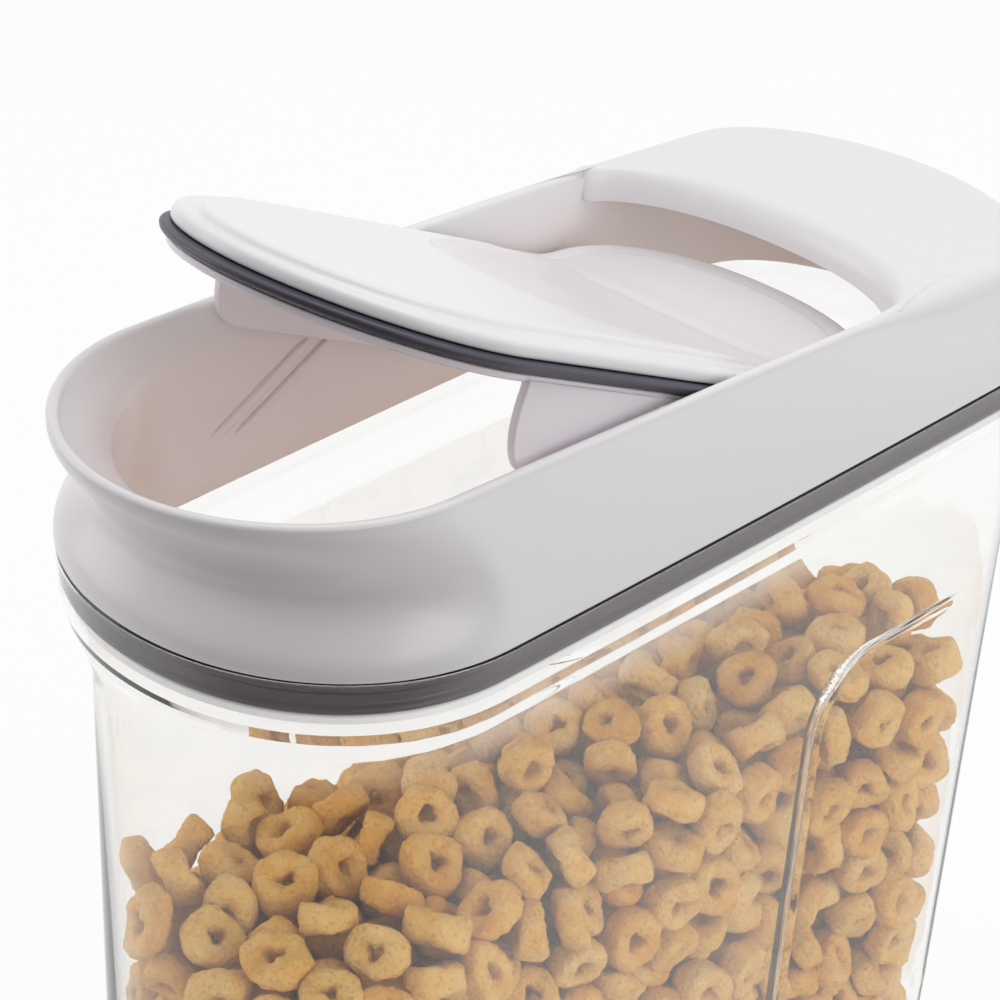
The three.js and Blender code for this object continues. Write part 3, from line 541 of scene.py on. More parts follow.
# %% Lid seal
def rounded(points, radius=0.35, steps=3):
    """A closed section with each of its corners rounded."""
    out, n = [], len(points)
    for i in range(n):
        a, b, c = (np.array(points[j % n], float) for j in (i - 1, i, i + 1))
        r = min(radius, np.linalg.norm(a - b) * 0.45, np.linalg.norm(c - b) * 0.45)
        p = b + (a - b) / np.linalg.norm(a - b) * r
        q = b + (c - b) / np.linalg.norm(c - b) * r
        for u in np.linspace(0, 1, steps + 1):
            out.append(mix(mix(p, b, u), mix(b, q, u), u))
    return out


rib_d, groove_d = SEAL_IN, SEAL_IN + SEAL_GROOVE
seal_section = [(SEAL_BACK, 0), (SEAL_BACK, 1), (groove_d, 1), (rib_d, 0.86), (rib_d, 0.76),
                (groove_d, 0.66), (groove_d, 0.36), (rib_d, 0.24), (rib_d, 0.12), (groove_d, 0)]
seal_section = rounded([(d, -SEAL_TOP - SEAL_HEIGHT * s) for d, s in seal_section])
seal_build = Build()
seal_build.skin([lift(inset(skirt, d), z) for d, z in seal_section], closed=True)
lid_seal = piece("mouth_seal", seal_build, from_lid, "lid", "lid_seal")

# %% [markdown]
# The container is blown or moulded clear plastic. Light bends twice in its wall, so both faces
# are modelled: the bell mouth that the lid pushes into, the ledge inside it, straight walls
# that lean inwards, the rounded foot, and a hand recess on each long side near the back. The
# recess is not cut. The wall is pressed in where a mask says so, and the stations are set
# closer together along the mask's edge, so that its line stays crisp.

# %% Profile of the container
def wall_in(drop):
    return WAIST_IN + TAPER * (drop - WAIST_DROP)


def body_in(drop):
    """How far the outer face stands in from the skirt's edge at a depth below it."""
    drop = np.asarray(drop, float)
    flare = ease((drop - MOUTH_DROP) / (WAIST_DROP - MOUTH_DROP))
    mouth = MOUTH_SET + MOUTH_DRAFT * np.minimum(drop, MOUTH_DROP)
    return np.where(drop >= WAIST_DROP, wall_in(drop), mix(mouth, wall_in(WAIST_DROP), flare))


def inner_in(drop):
    """How far in the inner face stands below the mouth, one number per point of a ring.

    The ledge is a short ramp, gentler along the sides: a steeper one would trap the light there.
    Under it the wall gets thinner again, and then slowly thicker all the way down."""
    t = min(1, max(0, (drop - LEDGE_DROP) / LEDGE_RUN))
    ahead = tub_facing ** 2
    slope, steep = mix(LEDGE_SIDE, LEDGE_TIP, ahead), mix(LEDGE_SIDE_STEEP, LEDGE_TIP_STEEP, ahead)
    ramp = MOUTH_WALL + LEDGE_RUN * (slope * t + (steep - slope) * t * t / 2)
    end = LEDGE_DROP + LEDGE_RUN
    if drop < end:
        return ramp
    back = mix(ramp - body_in(end), THIN_WALL, ease((drop - end) / (THIN_BY - end)))
    return body_in(drop) + mix(back, WALL, ease((drop - THICK_FROM) / (THICK_TO - THICK_FROM)))


def shares(marks):
    """Places along Y as shares of the skirt's straight side."""
    return (np.array(marks) - FRONT_END) / (LENGTH - REAR_END - FRONT_END)


GRIP_Y, GRIP_EDGE = LENGTH - GRIP_LENGTH, 2.2
side_marks = np.concatenate([np.linspace(FRONT_END, 157, 30)[1:], np.arange(157.6, 167, 0.45),
                             np.arange(167.2, 183, 1.1), np.linspace(184, LENGTH - REAR_END, 13)[:-1]])
TUB_AT = stations(36, shares(side_marks), 36)
tub_edge = skirt_ring(TUB_AT)
tub_facing = facing(tub_edge)
print(len(tub_edge), "points round the container")


def grip_press(ring, z, grow):
    """How far the hand recess presses the wall in at each point of a ring at height z."""
    x, y = ring[:, 0], ring[:, 1]
    low, high, front, r = -GRIP_BOTTOM - grow, -GRIP_TOP + grow, GRIP_Y - grow, GRIP_ROUND + grow
    dz = np.maximum(np.abs(z - (low + high) / 2) - ((high - low) / 2 - r), 0)
    dy = np.maximum(front + r - y, 0)
    inside = r - np.hypot(dy, dz)
    inside = np.where((dy == 0) & (dz == 0), r, inside)
    depth = GRIP_DEPTH * np.clip(1 - (y - GRIP_Y) / GRIP_RUN, 0, 1.1)
    return depth * ease(inside / GRIP_EDGE + 0.15) * (np.abs(x) > WIDTH / 4)


def tub_ring(d, z, grow=0.0):
    ring = inset(tub_edge, d)
    if -GRIP_BOTTOM - 6 < z < -GRIP_TOP + 6:
        ring = inset(tub_edge, d + grip_press(ring, z, grow))
    return lift(ring, z)


def grip_drops(grow):
    """Depths below the waist, close together at the recess's edges and corners."""
    a, b = GRIP_TOP - grow, GRIP_BOTTOM + grow
    return np.concatenate([np.linspace(34, a - 3, 8), np.arange(a - 2.6, a + 3, 0.4),
                           np.linspace(a + 3.6, a + 20, 16), np.linspace(a + 26, b - 26, 10),
                           np.linspace(b - 20, b - 3.6, 16), np.arange(b - 3, b + 2.8, 0.4)])


# %% Container
foot, bend = float(wall_in(RIM_Z)), FOOT_ROUND - WALL
inner = [tub_ring(foot + WALL + bend * (1 - math.sin(a)), FLOOR - RIM_Z + bend * (1 - math.cos(a)))
         for a in np.radians(np.linspace(0, 90, 9))]
for drop in grip_drops(WALL)[::-1]:
    inner.append(tub_ring(inner_in(drop), -drop, WALL))
bell_drops = np.linspace(LEDGE_DROP + LEDGE_RUN, WAIST_DROP, 40)
for drop in [*bell_drops[::-1], *np.linspace(LEDGE_DROP + LEDGE_RUN - 0.15, LEDGE_DROP + 0.1, 16)]:
    inner.append(tub_ring(inner_in(drop), -drop))
inner.append(tub_ring(MOUTH_WALL, 0.2 - LEDGE_DROP))
mouth_mid, mouth_r = (MOUTH_SET + MOUTH_WALL) / 2, (MOUTH_WALL - MOUTH_SET) / 2
for z in (-9, -6, -3, -GAP - mouth_r):
    inner.append(tub_ring(MOUTH_WALL, z))
for a in np.radians(np.linspace(20, 160, 7)):
    inner.append(tub_ring(mouth_mid + mouth_r * math.cos(a), -GAP - mouth_r * (1 - math.sin(a))))
flare_drops = np.linspace(MOUTH_DROP, LEDGE_DROP + LEDGE_RUN - 0.4, 20)
outer = [tub_ring(float(body_in(drop)), -drop)
         for drop in [GAP + mouth_r, 2.5, 4, 5.5, *flare_drops, *bell_drops]]
for drop in grip_drops(0):
    outer.append(tub_ring(body_in(drop), -drop))
for a in np.radians(np.linspace(90, 0, 9)):
    outer.append(tub_ring(foot + FOOT_ROUND * (1 - math.sin(a)), -RIM_Z + FOOT_ROUND * (1 - math.cos(a))))
foot_in = foot + FOOT_ROUND + FOOT_WIDTH
outer += [tub_ring(foot_in - 0.4, -RIM_Z), tub_ring(foot_in, -RIM_Z + 0.3),
          tub_ring(foot_in + 0.7, -RIM_Z + FOOT_RECESS - 0.3), tub_ring(foot_in + 1.2, -RIM_Z + FOOT_RECESS)]
tub_build = Build()
rings = inner + outer
first = tub_build.skin(rings)
tub_build.close(first, rings[0], 10, lambda x, y: x * 0 + FLOOR - RIM_Z)
tub_build.close(first + len(tub_edge) * (len(rings) - 1), rings[-1], 10,
                lambda x, y: x * 0 + FOOT_RECESS - RIM_Z)
tub = piece("clear_tub", tub_build, from_lid, "tub", "container")

# %% [markdown]
# The flip cap is a thin white shell. Its edge is a rounded bead, a raised panel covers the
# front, and behind the panel's curved rear edge the surface drops into a valley and rises
# again as a press tab. The rings that follow the edge also follow the panel's sides. The
# panel's rear edge is a soft step, drawn as a height over the plan.

# %% Cap outlines
CAP_AT = stations(44, np.linspace(0, 1, 221)[1:-1], 40)
cap_edge = outline(CAP_AT, CAP_TIP, CAP_BACK, CAP_HALF, CAP_FRONT_END, CAP_REAR_END,
                   CAP_POWER, CAP_REAR_POWER)
cap_facing = facing(cap_edge)
panel_half = CAP_HALF - PANEL_IN
panel_edge = outline(CAP_AT, CAP_TIP + PANEL_FRONT_IN, CAP_BACK - PANEL_IN, panel_half,
                     CAP_FRONT_END - PANEL_FRONT_IN, CAP_REAR_END - 5, CAP_POWER, CAP_REAR_POWER)


def tail(y):
    """Rise of the press tab above the cap's flat part."""
    run_up = np.asarray(y, float) - TAIL_START
    soft = TAIL_SLOPE * (run_up + TAIL_SOFT) ** 2 / (4 * TAIL_SOFT)
    return np.where(run_up <= -TAIL_SOFT, 0, np.where(run_up >= TAIL_SOFT, run_up * TAIL_SLOPE, soft))


def cap_ring(ring, d, z):
    xy = inset(ring, d)
    return lift(xy, CAP_RISE + z + tail(xy[:, 1]))


VALLEY_SAG, VALLEY_Y, STEP_FOOT = 1.0, 11.5, 2.8
rear_corners = [(panel_half + 1.5, PANEL_TAILS + 4), (panel_half - 2, PANEL_BACK + 7),
                (0.74 * panel_half, PANEL_BACK), (0, PANEL_BACK)]


def bezier(corners, u):
    """Points of the curve that four corner points pull into shape, at shares u of its run."""
    a, b, c, d = np.array(corners)
    u = np.asarray(u)[:, None]
    return (1 - u) ** 3 * a + 3 * u * (1 - u) ** 2 * b + 3 * u * u * (1 - u) * c + u ** 3 * d


# the right half of the panel's rear edge, from the side to the middle
rear_fine = bezier(rear_corners, np.linspace(0, 1, 900))
rear_half = bezier(rear_corners, np.linspace(0, 1, 150))
rear_edge = np.concatenate([rear_half, rear_half[-2::-1] * (-1, 1)])


def panel_mask(x, y):
    """1 on the raised panel, 0 behind its rear edge. The step is sharp above and soft at its foot."""
    x, y = np.abs(x), np.asarray(y)
    away = np.concatenate([np.linalg.norm(part[:, None] - rear_fine[None], axis=2).min(1)
                           for part in np.array_split(np.stack([x, y], -1), len(x) // 400 + 1)])
    behind = y > np.interp(x, rear_fine[::-1, 0], rear_fine[::-1, 1])
    step = np.where(behind, (1 - np.clip(away / STEP_FOOT, 0, 1)) ** 2, 1)
    return step * (1 - ease((y + 2) / (PANEL_TAILS + 2)))


def valley(x, y):
    """How far the surface dips between the panel and the crease where the press tab starts to rise."""
    along = np.where(y < VALLEY_Y, ease((y + 24) / (VALLEY_Y + 24)), 1 - ease((y - VALLEY_Y) / 5.5))
    across = 1 - ease((np.abs(x) - 0.55 * panel_half) / (0.42 * panel_half))
    return VALLEY_SAG * along * across * (1 - panel_mask(x, y))


# %% Cap shell
cap_build = Build()
BEAD_TOP = 3.3
bead = [(1.1, 0.0), (0.8, 0.12), (0.62, 0.4), (0.55, 0.8), (0.55, 1.3), (0.6, 1.8), (0.72, 2.2),
        (0.95, 2.55), (1.25, 2.8), (1.6, 2.97), (2.0, 3.1), (2.45, 3.21), (2.9, BEAD_TOP)]
pocket = [(CAP_EDGE + 0.9, CAP_POCKET), (CAP_EDGE + 0.2, CAP_POCKET - 0.15),
          (CAP_EDGE, CAP_POCKET - 0.5), (CAP_EDGE, 0)]
rings = [cap_ring(cap_edge, d, z) for d, z in pocket + bead]
panel_side = [(-0.62, 0), (-0.3, 0.03), (0.0, 0.16), (0.18, 0.4), (0.34, 0.64), (0.5, 0.78), (0.75, 0.86),
              (1.1, 0.93), (1.7, 1.0)]
panel_high = CAP_THICK + PANEL_RAISE - BEAD_TOP
for d, rise in panel_side:
    xy = inset(panel_edge, d)
    on_panel = panel_mask(xy[:, 0], xy[:, 1])
    z = BEAD_TOP + rise * mix(CAP_THICK - BEAD_TOP, panel_high, on_panel)
    rings.append(lift(xy, CAP_RISE + z + tail(xy[:, 1]) - rise * valley(xy[:, 0], xy[:, 1])))
first = cap_build.skin(rings)
cap_build.close(first, rings[0], 12, lambda x, y: CAP_RISE + CAP_POCKET + tail(y))
step_lines = [inset(rear_edge, -s)[1:-1] for s in (-0.5, -0.15, 0, 0.15, 0.4, 0.75, 1.2, 1.7, 2.3, 2.9)]
cap_build.fill(first + len(cap_edge) * (len(rings) - 1), rings[-1], step_lines, 1.1,
               lambda x, y: CAP_RISE + CAP_THICK + PANEL_RAISE * panel_mask(x, y) + tail(y) - valley(x, y))
every = cap_build.all_points()
# painted shade: the valley and the press tab behind the raised panel, inside the panel's sides, take a
# lavender-grey
valley_painted_shade = np.where(every[:, 2] > CAP_RISE + CAP_THICK - 0.6 + tail(every[:, 1]) - VALLEY_SAG,
                1 - np.clip(panel_mask(every[:, 0], every[:, 1]) * 2 - 1, 0, 1), 0)
inside_sides = ease((panel_half + 0.4 - np.abs(every[:, 0])) / 1.5) * ease((CAP_BACK - 3 - every[:, 1]) / 3)
cap = piece("cap_moulding", cap_build, from_cap, "cap", "cap_shell", 50,
            {"valley_painted_shade": valley_painted_shade * inside_sides})

# %% [markdown]
# Under the shell sits a dark silicone seal. Its edge is a groove between two lips, and at the
# cap's tip the lower lip stands out furthest.

# %% Cap seal
t = CAP_SEAL_THICK
tip_lip = CAP_TIP_LIP * cap_facing ** 10
cap_seal_section = rounded([(CAP_SEAL_IN, -GAP), (CAP_SEAL_IN, -GAP - t), (0.5, -GAP - t), (-0.25, 0.1 - t),
                            (-0.75, 0.55 - t), (-1.0, -1.35), (-0.9, -0.95), (-0.5, -0.6), (0.1, -0.45),
                            (0.7, -GAP)], 0.3, 3)
cap_seal_build = Build()
rows = []
for d, z in cap_seal_section:
    rows.append(cap_ring(cap_edge, d - tip_lip * np.clip(-d / 0.8, 0, 1), z))
cap_seal_build.skin(rows, closed=True)
cap_seal = piece("cap_gasket", cap_seal_build, from_cap, "cap", "cap_seal")

# %% [markdown]
# The frame clamps the seal from below. Two ears hang from it, just inside the chute's walls,
# each with a boss for the hinge pin and a small detent bump near its front edge.

# %% Cap frame
low = -GAP * 2 - CAP_SEAL_THICK
frame_build = Build()
plug = CAP_EDGE + GAP
frame_section = [(FRAME_IN + 0.9, low - FRAME_FLANGE), (FRAME_IN + 0.45, low - FRAME_FLANGE + 0.1),
                 (FRAME_IN + 0.12, low - FRAME_FLANGE + 0.4), (FRAME_IN, low - FRAME_FLANGE + 0.8),
                 (FRAME_IN, low - 0.2), (FRAME_IN + 0.2, low), (plug, low + 0.01), (plug, CAP_POCKET - 0.7),
                 (FRAME_RIM, CAP_POCKET - 0.7), (FRAME_RIM, low + 0.2)]
rings = [cap_ring(cap_edge, d, z) for d, z in frame_section]
first = frame_build.skin(rings)
frame_build.close(first, rings[0], 12, lambda x, y: CAP_RISE + low - FRAME_FLANGE + tail(y))
frame_build.close(first + len(cap_edge) * (len(rings) - 1), rings[-1], 12,
                  lambda x, y: CAP_RISE + low + 0.2 + tail(y))


def ear_outline(top_z):
    """The hinge ear seen from the side, as (y, z) points."""
    heel = EAR_DROP
    a = np.radians(np.linspace(-90, 0, 9))
    pts = list(zip(EAR_BACK - heel + heel * np.cos(a), -EAR_DROP + heel + heel * np.sin(a)))
    pts += [(EAR_BACK, top_z), (EAR_FRONT, top_z)]
    toe = [(EAR_FRONT, top_z), (EAR_FRONT - 0.5, EAR_ROUND - EAR_DROP),
           (EAR_FRONT + EAR_ROUND / 3, -EAR_DROP), (EAR_FRONT + EAR_ROUND + 2, -EAR_DROP)]
    return np.concatenate([np.array(pts), bezier(toe, np.linspace(0, 1, 15)[1:])])


def plate(build, pts, x0, x1, soft):
    """A flat shape in the Y-Z plane with its edges rounded, from x0 to x1."""
    edge_round = [(0, 1), (0.13, 0.5), (0.5, 0.13), (1, 0)]
    section = [(x0 + along * soft, d * soft) for along, d in edge_round]
    section += [(x1 - along * soft, d * soft) for along, d in edge_round[::-1]]
    build.bar([np.column_stack([np.full(len(pts), x), inset(pts, d)]) for x, d in section])


def disc(radius, y, z, sides=40):
    a = np.linspace(0, 2 * math.pi, sides, endpoint=False)
    return np.column_stack([y + radius * np.cos(a), z + radius * np.sin(a)])


ear_top = CAP_RISE + low - FRAME_FLANGE / 2
for side in (1, -1):
    for pts, x0, x1, soft in [
            (ear_outline(ear_top), EAR_OUTER - EAR_THICK, EAR_OUTER, 0.45),
            (disc(BOSS_RADIUS, 0, 0), EAR_OUTER - BOSS_THICK, EAR_OUTER - 0.1, 0.4),
            (disc(DETENT_RADIUS, DETENT_Y, DETENT_Z), EAR_OUTER - 1, EAR_OUTER + DETENT_STAND, 0.55)]:
        if side > 0:
            plate(frame_build, pts, x0, x1, soft)
        else:
            plate(frame_build, pts, -x1, -x0, soft)
cap_frame = piece("hinge_frame", frame_build, from_cap, "cap", "cap_frame")

# %% Hinge pins
for side, node, name in [(1, "hinge_pin_right", "pin_right"), (-1, "hinge_pin_left", "pin_left")]:
    pin_build = Build()
    x0, x1 = EAR_OUTER - BOSS_THICK, BORE_HALF + CHUTE_WALL - GAP
    x0, x1 = (x0, x1) if side > 0 else (-x1, -x0)
    plate(pin_build, disc(PIN_RADIUS, PIVOT_Y, PIVOT_Z), x0, x1, 0.4)
    piece(name, pin_build, from_lid, "lid", node)

# %% [markdown]
# The photograph shows the tub filled with ring cereal. It isn't part of the CAD model, since
# it is only what the tub holds, so it is a piece of its own that rides on the tub. Each ring
# is a bumpy puff about 13 mm across. The heap is packed by a small simulation: rings start on
# a loose grid, push each other apart, sink, and stay inside the walls. What would still reach
# into the wall or the floor is pressed flat against it.

# %% Shapes of single rings
rng = np.random.default_rng(11)
RING_OUT, RING_HOLE, RING_THICK = 6.7, 1.75, 6.4


def cereal_ring(around, section, seed):
    """Points and quads of one puffed ring about its own axis, in mm."""
    ru = np.linspace(0, 2 * math.pi, around, endpoint=False)
    rv = np.linspace(0, 2 * math.pi, section, endpoint=False)
    draw = np.random.default_rng(seed)
    major, minor = (RING_OUT + RING_HOLE) / 2, (RING_OUT - RING_HOLE) / 2
    oval, shear, sides = draw.uniform(0.9, 1.1), draw.uniform(-0.22, 0.22), int(draw.integers(2, 4))
    side_turn, hole_turn = draw.uniform(0, 6.28, 2)
    pts = []
    for a in ru:
        flat = 0.35 * math.cos(sides * a + side_turn)
        for b in rv:
            cb, sb = math.cos(b), math.sin(b)
            r = major + minor * math.copysign(abs(cb) ** 0.62, cb)
            r += flat if cb > 0 else 0.45 * math.cos(3 * a + hole_turn) * -cb
            z = RING_THICK / 2 * math.copysign(abs(sb) ** 0.55, sb) * (1 + 0.1 * math.cos(2 * a + hole_turn))
            p = Vector((r * math.cos(a) * oval, r * math.sin(a) / oval, z + shear * r * math.cos(a)))
            grow = 0.8 * noise.noise(p * 0.22 + Vector((seed * 7.3, 0, 0)))
            grow += 0.55 * noise.noise(p * 0.55 + Vector((0, seed * 3.1, 0)))
            grow += 0.3 * noise.noise(p * 1.3 + Vector((0, 0, seed * 5.7)))
            n = Vector((cb * math.cos(a), cb * math.sin(a), sb))
            pts.append(p + n * grow)
    k, i = np.arange(around)[:, None], np.arange(section)[None]
    k2, i2 = (k + 1) % around, (i + 1) % section
    quads = np.stack([k * section + i, k2 * section + i, k2 * section + i2, k * section + i2], -1)
    return np.array([tuple(p) for p in pts]), quads.reshape(-1, 4)


fine_rings = [cereal_ring(28, 13, s) for s in range(12)]
plain_rings = [cereal_ring(12, 6, s) for s in range(12)]
print(len(fine_rings), "ring shapes")

# %% Room for the rings
tub_poly = skirt_ring(stations(14, np.linspace(0, 1, 9)[1:-1], 14))
poly_next = np.roll(tub_poly, -1, 0)


def wall_distance(xy):
    """Distance from each point to the skirt's outline, and the direction to it."""
    a, d = tub_poly[None], (poly_next - tub_poly)[None]
    t = np.clip(((xy[:, None] - a) * d).sum(-1) / (d ** 2).sum(-1), 0, 1)
    gap = a + d * t[..., None] - xy[:, None]
    dist = np.linalg.norm(gap, axis=-1)
    k = dist.argmin(1)
    rows_i = np.arange(len(xy))
    near = gap[rows_i, k]
    edge_d = (poly_next - tub_poly)[k]
    out = np.column_stack([edge_d[:, 1], -edge_d[:, 0]])
    out /= np.linalg.norm(out, axis=1)[:, None]
    return (near * out).sum(1), out


def heap_top(x, y):
    """Upper surface of the cereal: a ridge along the middle, falling to the far side and the rear."""
    far = mix(0.06, 0.6, ease((y - 50) / 50))
    rear = np.maximum(0, y - 222)
    front = np.maximum(0, 60 - y)
    return -75.5 - 0.2 * np.maximum(x, 0) - far * np.maximum(-x, 0) - 0.35 * rear - 0.06 * front


def room_in(z):
    """How far in the room for cereal starts at a height."""
    return np.where(z > FLOOR - RIM_Z + 6, wall_in(-z) + WALL, wall_in(RIM_Z) + WALL + 2)


# %% Rings on a loose grid
SPACING = 14.6
grid = np.stack(np.meshgrid(np.arange(-45, 46, SPACING), np.arange(0, 252, SPACING),
                            np.arange(-200, -60, SPACING), indexing="ij"), -1).reshape(-1, 3)
spots = np.concatenate([grid, grid + SPACING / 2])
spots += rng.uniform(-2.5, 2.5, spots.shape)
gap, _ = wall_distance(spots[:, :2])
keep = (gap > room_in(spots[:, 2]) + 3) & (spots[:, 2] < heap_top(spots[:, 0], spots[:, 1]) + 1)
spots = spots[keep]
axes = rng.normal(size=spots.shape)
gap, out = wall_distance(spots[:, :2])
near_wall = (gap < room_in(spots[:, 2]) + 12) & (rng.random(len(spots)) < 0.68)
tilt = rng.normal(0, 0.25, near_wall.sum())
axes[near_wall] = np.column_stack([out[near_wall], tilt]) + rng.normal(0, 0.25, (len(tilt), 3))
axes /= np.linalg.norm(axes, axis=1)[:, None]
sizes = rng.uniform(0.9, 1.06, len(spots))
print(len(spots), "rings in the heap")


# %% Packing the heap
def support(axis, direction, size):
    """Half the extent of a ring along a direction."""
    c = np.abs((axis * direction).sum(-1))
    return size * (RING_OUT * np.sqrt(np.maximum(0, 1 - c * c)) + RING_THICK / 2 * c)


up = np.array([0, 0, 1.0])
STEPS, SINKING_STEPS, SINK, NEIGHBOUR = 90, 60, 0.12, 15.5
for step in range(STEPS):
    if step % 3 == 0:
        sq = (spots ** 2).sum(1)
        d2 = sq[:, None] + sq[None] - 2 * spots @ spots.T
        ii, jj = np.nonzero(np.triu(d2 < NEIGHBOUR ** 2, 1))
    away = spots[jj] - spots[ii]
    dist = np.linalg.norm(away, axis=1)
    away /= np.maximum(dist, 1e-6)[:, None]
    need = 0.96 * (support(axes[ii], away, sizes[ii]) + support(axes[jj], away, sizes[jj]))
    push = np.maximum(0, need - dist)[:, None] * away * 0.35
    np.add.at(spots, jj, push)
    np.add.at(spots, ii, -push)
    spots[:, 2] -= SINK if step < SINKING_STEPS else 0
    for _ in range(2):
        gap, out = wall_distance(spots[:, :2])
        n3 = np.column_stack([out, np.zeros(len(out))])
        depth = room_in(spots[:, 2]) + support(axes, n3, sizes) + 0.35
        x, y, z = spots.T
        in_grip = (np.abs(x) > 20) & (y > GRIP_Y - 9) & (z < -GRIP_TOP + 8) & (z > -GRIP_BOTTOM - 8)
        depth += np.where(in_grip, GRIP_DEPTH * np.clip(1 - (y - GRIP_Y) / GRIP_RUN, 0, 1), 0)
        short = np.maximum(0, depth - gap)
        spots[:, :2] -= out * short[:, None]
    floor = FLOOR - RIM_Z + support(axes, up, sizes) + 0.3
    roof = heap_top(spots[:, 0], spots[:, 1]) - 0.5 * support(axes, up, sizes)
    spots[:, 2] = np.clip(spots[:, 2], floor, np.maximum(roof, floor))
print("largest overlap", round(float((need - dist).max()), 2), "mm, mean",
      round(float(np.maximum(0, need - dist).mean()), 3))

# %% Cereal
WALL_CLEARANCE = 0.15
pts_all, quads_all, tones, count, most_pressed = [], [], [], 0, 0.0


def pressed(pts):
    """Points of a ring held inside the tub, and how far the wall pressed them in."""
    floor_z, corner = FLOOR - RIM_Z + WALL_CLEARANCE, FOOT_ROUND - WALL
    pts[:, 2] = np.maximum(pts[:, 2], floor_z)
    above = np.clip((pts[:, 2] - floor_z) / corner, 0, 1)
    depth = wall_in(-pts[:, 2]) + WALL + WALL_CLEARANCE + corner * (1 - np.sqrt(1 - (1 - above) ** 2))
    depth += grip_press(pts[:, :2], pts[:, 2], WALL)
    gap, out = wall_distance(pts[:, :2])
    short = np.maximum(0, depth - gap)
    pts[:, :2] -= out * short[:, None]
    return pts, short.max()


gap, out = wall_distance(spots[:, :2])
shown = (gap < room_in(spots[:, 2]) + 17) | (spots[:, 2] > heap_top(spots[:, 0], spots[:, 1]) - 17)
for i, (spot, axis, size) in enumerate(zip(spots, axes, sizes)):
    pts, quads = (fine_rings if shown[i] else plain_rings)[int(rng.integers(12))]
    spin = Matrix.Rotation(rng.uniform(0, 6.28), 3, "Z")
    turned = np.array(Vector(axis).to_track_quat("Z", "Y").to_matrix() @ spin)
    pts, short = pressed(pts @ turned.T * size + spot)
    most_pressed = max(most_pressed, short)
    pts_all.append(pts)
    quads_all.append(quads + count)
    tones.append(np.full(len(pts), rng.random()))
    count += len(pts)
print("rings pressed flat by up to", round(float(most_pressed), 2), "mm")
cereal_build = Build()
cereal_build.add(np.concatenate(pts_all))
cereal_build.faces = np.concatenate(quads_all).tolist()
cereal = piece("cereal", cereal_build, from_lid, "tub", None, 180, {"tone": np.concatenate(tones)})

# %% [markdown]
# Finishes. No real plastic is one flat colour. Moulding leaves a very fine grain, the gloss
# changes a little from place to place, and dust and handling show as faint clouding. That
# effect is the same on every plastic piece here, so it is one node group with its own scale
# and strength in each material.

# %% A shared group for moulded surfaces
def socket(group, name, kind, way, value=None):
    s = group.interface.new_socket(name=name, in_out=way, socket_type=kind)
    if value is not None:
        s.default_value = value
    return s


moulded = bpy.data.node_groups.new("moulded_surface", "ShaderNodeTree")
socket(moulded, "Color", "NodeSocketColor", "INPUT", (0.8, 0.8, 0.8, 1))
socket(moulded, "Cloud Color", "NodeSocketColor", "INPUT", (0.8, 0.8, 0.8, 1))
socket(moulded, "Gloss", "NodeSocketFloat", "INPUT", 0.3)
socket(moulded, "Gloss Spread", "NodeSocketFloat", "INPUT", 0.06)
socket(moulded, "Grain Scale", "NodeSocketFloat", "INPUT", 2600.0)
socket(moulded, "Color", "NodeSocketColor", "OUTPUT")
socket(moulded, "Roughness", "NodeSocketFloat", "OUTPUT")
socket(moulded, "Height", "NodeSocketFloat", "OUTPUT")


def add(tree, kind, **values):
    node = tree.nodes.new(kind)
    for key, value in values.items():
        if hasattr(node, key):
            setattr(node, key, value)
    return node


def link(tree, a, b):
    tree.links.new(a, b)


g_in, g_out = add(moulded, "NodeGroupInput"), add(moulded, "NodeGroupOutput")
place = add(moulded, "ShaderNodeTexCoord")
cloud = add(moulded, "ShaderNodeTexNoise")
cloud.inputs["Scale"].default_value = 9
cloud.inputs["Detail"].default_value = 0
grain = add(moulded, "ShaderNodeTexNoise")
grain.inputs["Detail"].default_value = 2
for tex in (cloud, grain):
    link(moulded, place.outputs["Object"], tex.inputs["Vector"])
link(moulded, g_in.outputs["Grain Scale"], grain.inputs["Scale"])
cloud_share = add(moulded, "ShaderNodeMapRange", interpolation_type="SMOOTHSTEP")
cloud_share.inputs["From Min"].default_value = 0.2
cloud_share.inputs["From Max"].default_value = 0.8
link(moulded, cloud.outputs["Fac"], cloud_share.inputs["Value"])
clouded = add(moulded, "ShaderNodeMix", data_type="RGBA")
link(moulded, cloud_share.outputs["Result"], clouded.inputs["Factor"])
link(moulded, g_in.outputs["Color"], clouded.inputs["A"])
link(moulded, g_in.outputs["Cloud Color"], clouded.inputs["B"])
link(moulded, clouded.outputs["Result"], g_out.inputs["Color"])
rough = add(moulded, "ShaderNodeMath", operation="MULTIPLY_ADD")
link(moulded, cloud_share.outputs["Result"], rough.inputs[0])
link(moulded, g_in.outputs["Gloss Spread"], rough.inputs[1])
link(moulded, g_in.outputs["Gloss"], rough.inputs[2])
link(moulded, rough.outputs[0], g_out.inputs["Roughness"])
link(moulded, grain.outputs["Fac"], g_out.inputs["Height"])


def material(name):
    m = bpy.data.materials.new(name)
    m.use_nodes = True
    tree = m.node_tree
    return m, tree, tree.nodes["Principled BSDF"]


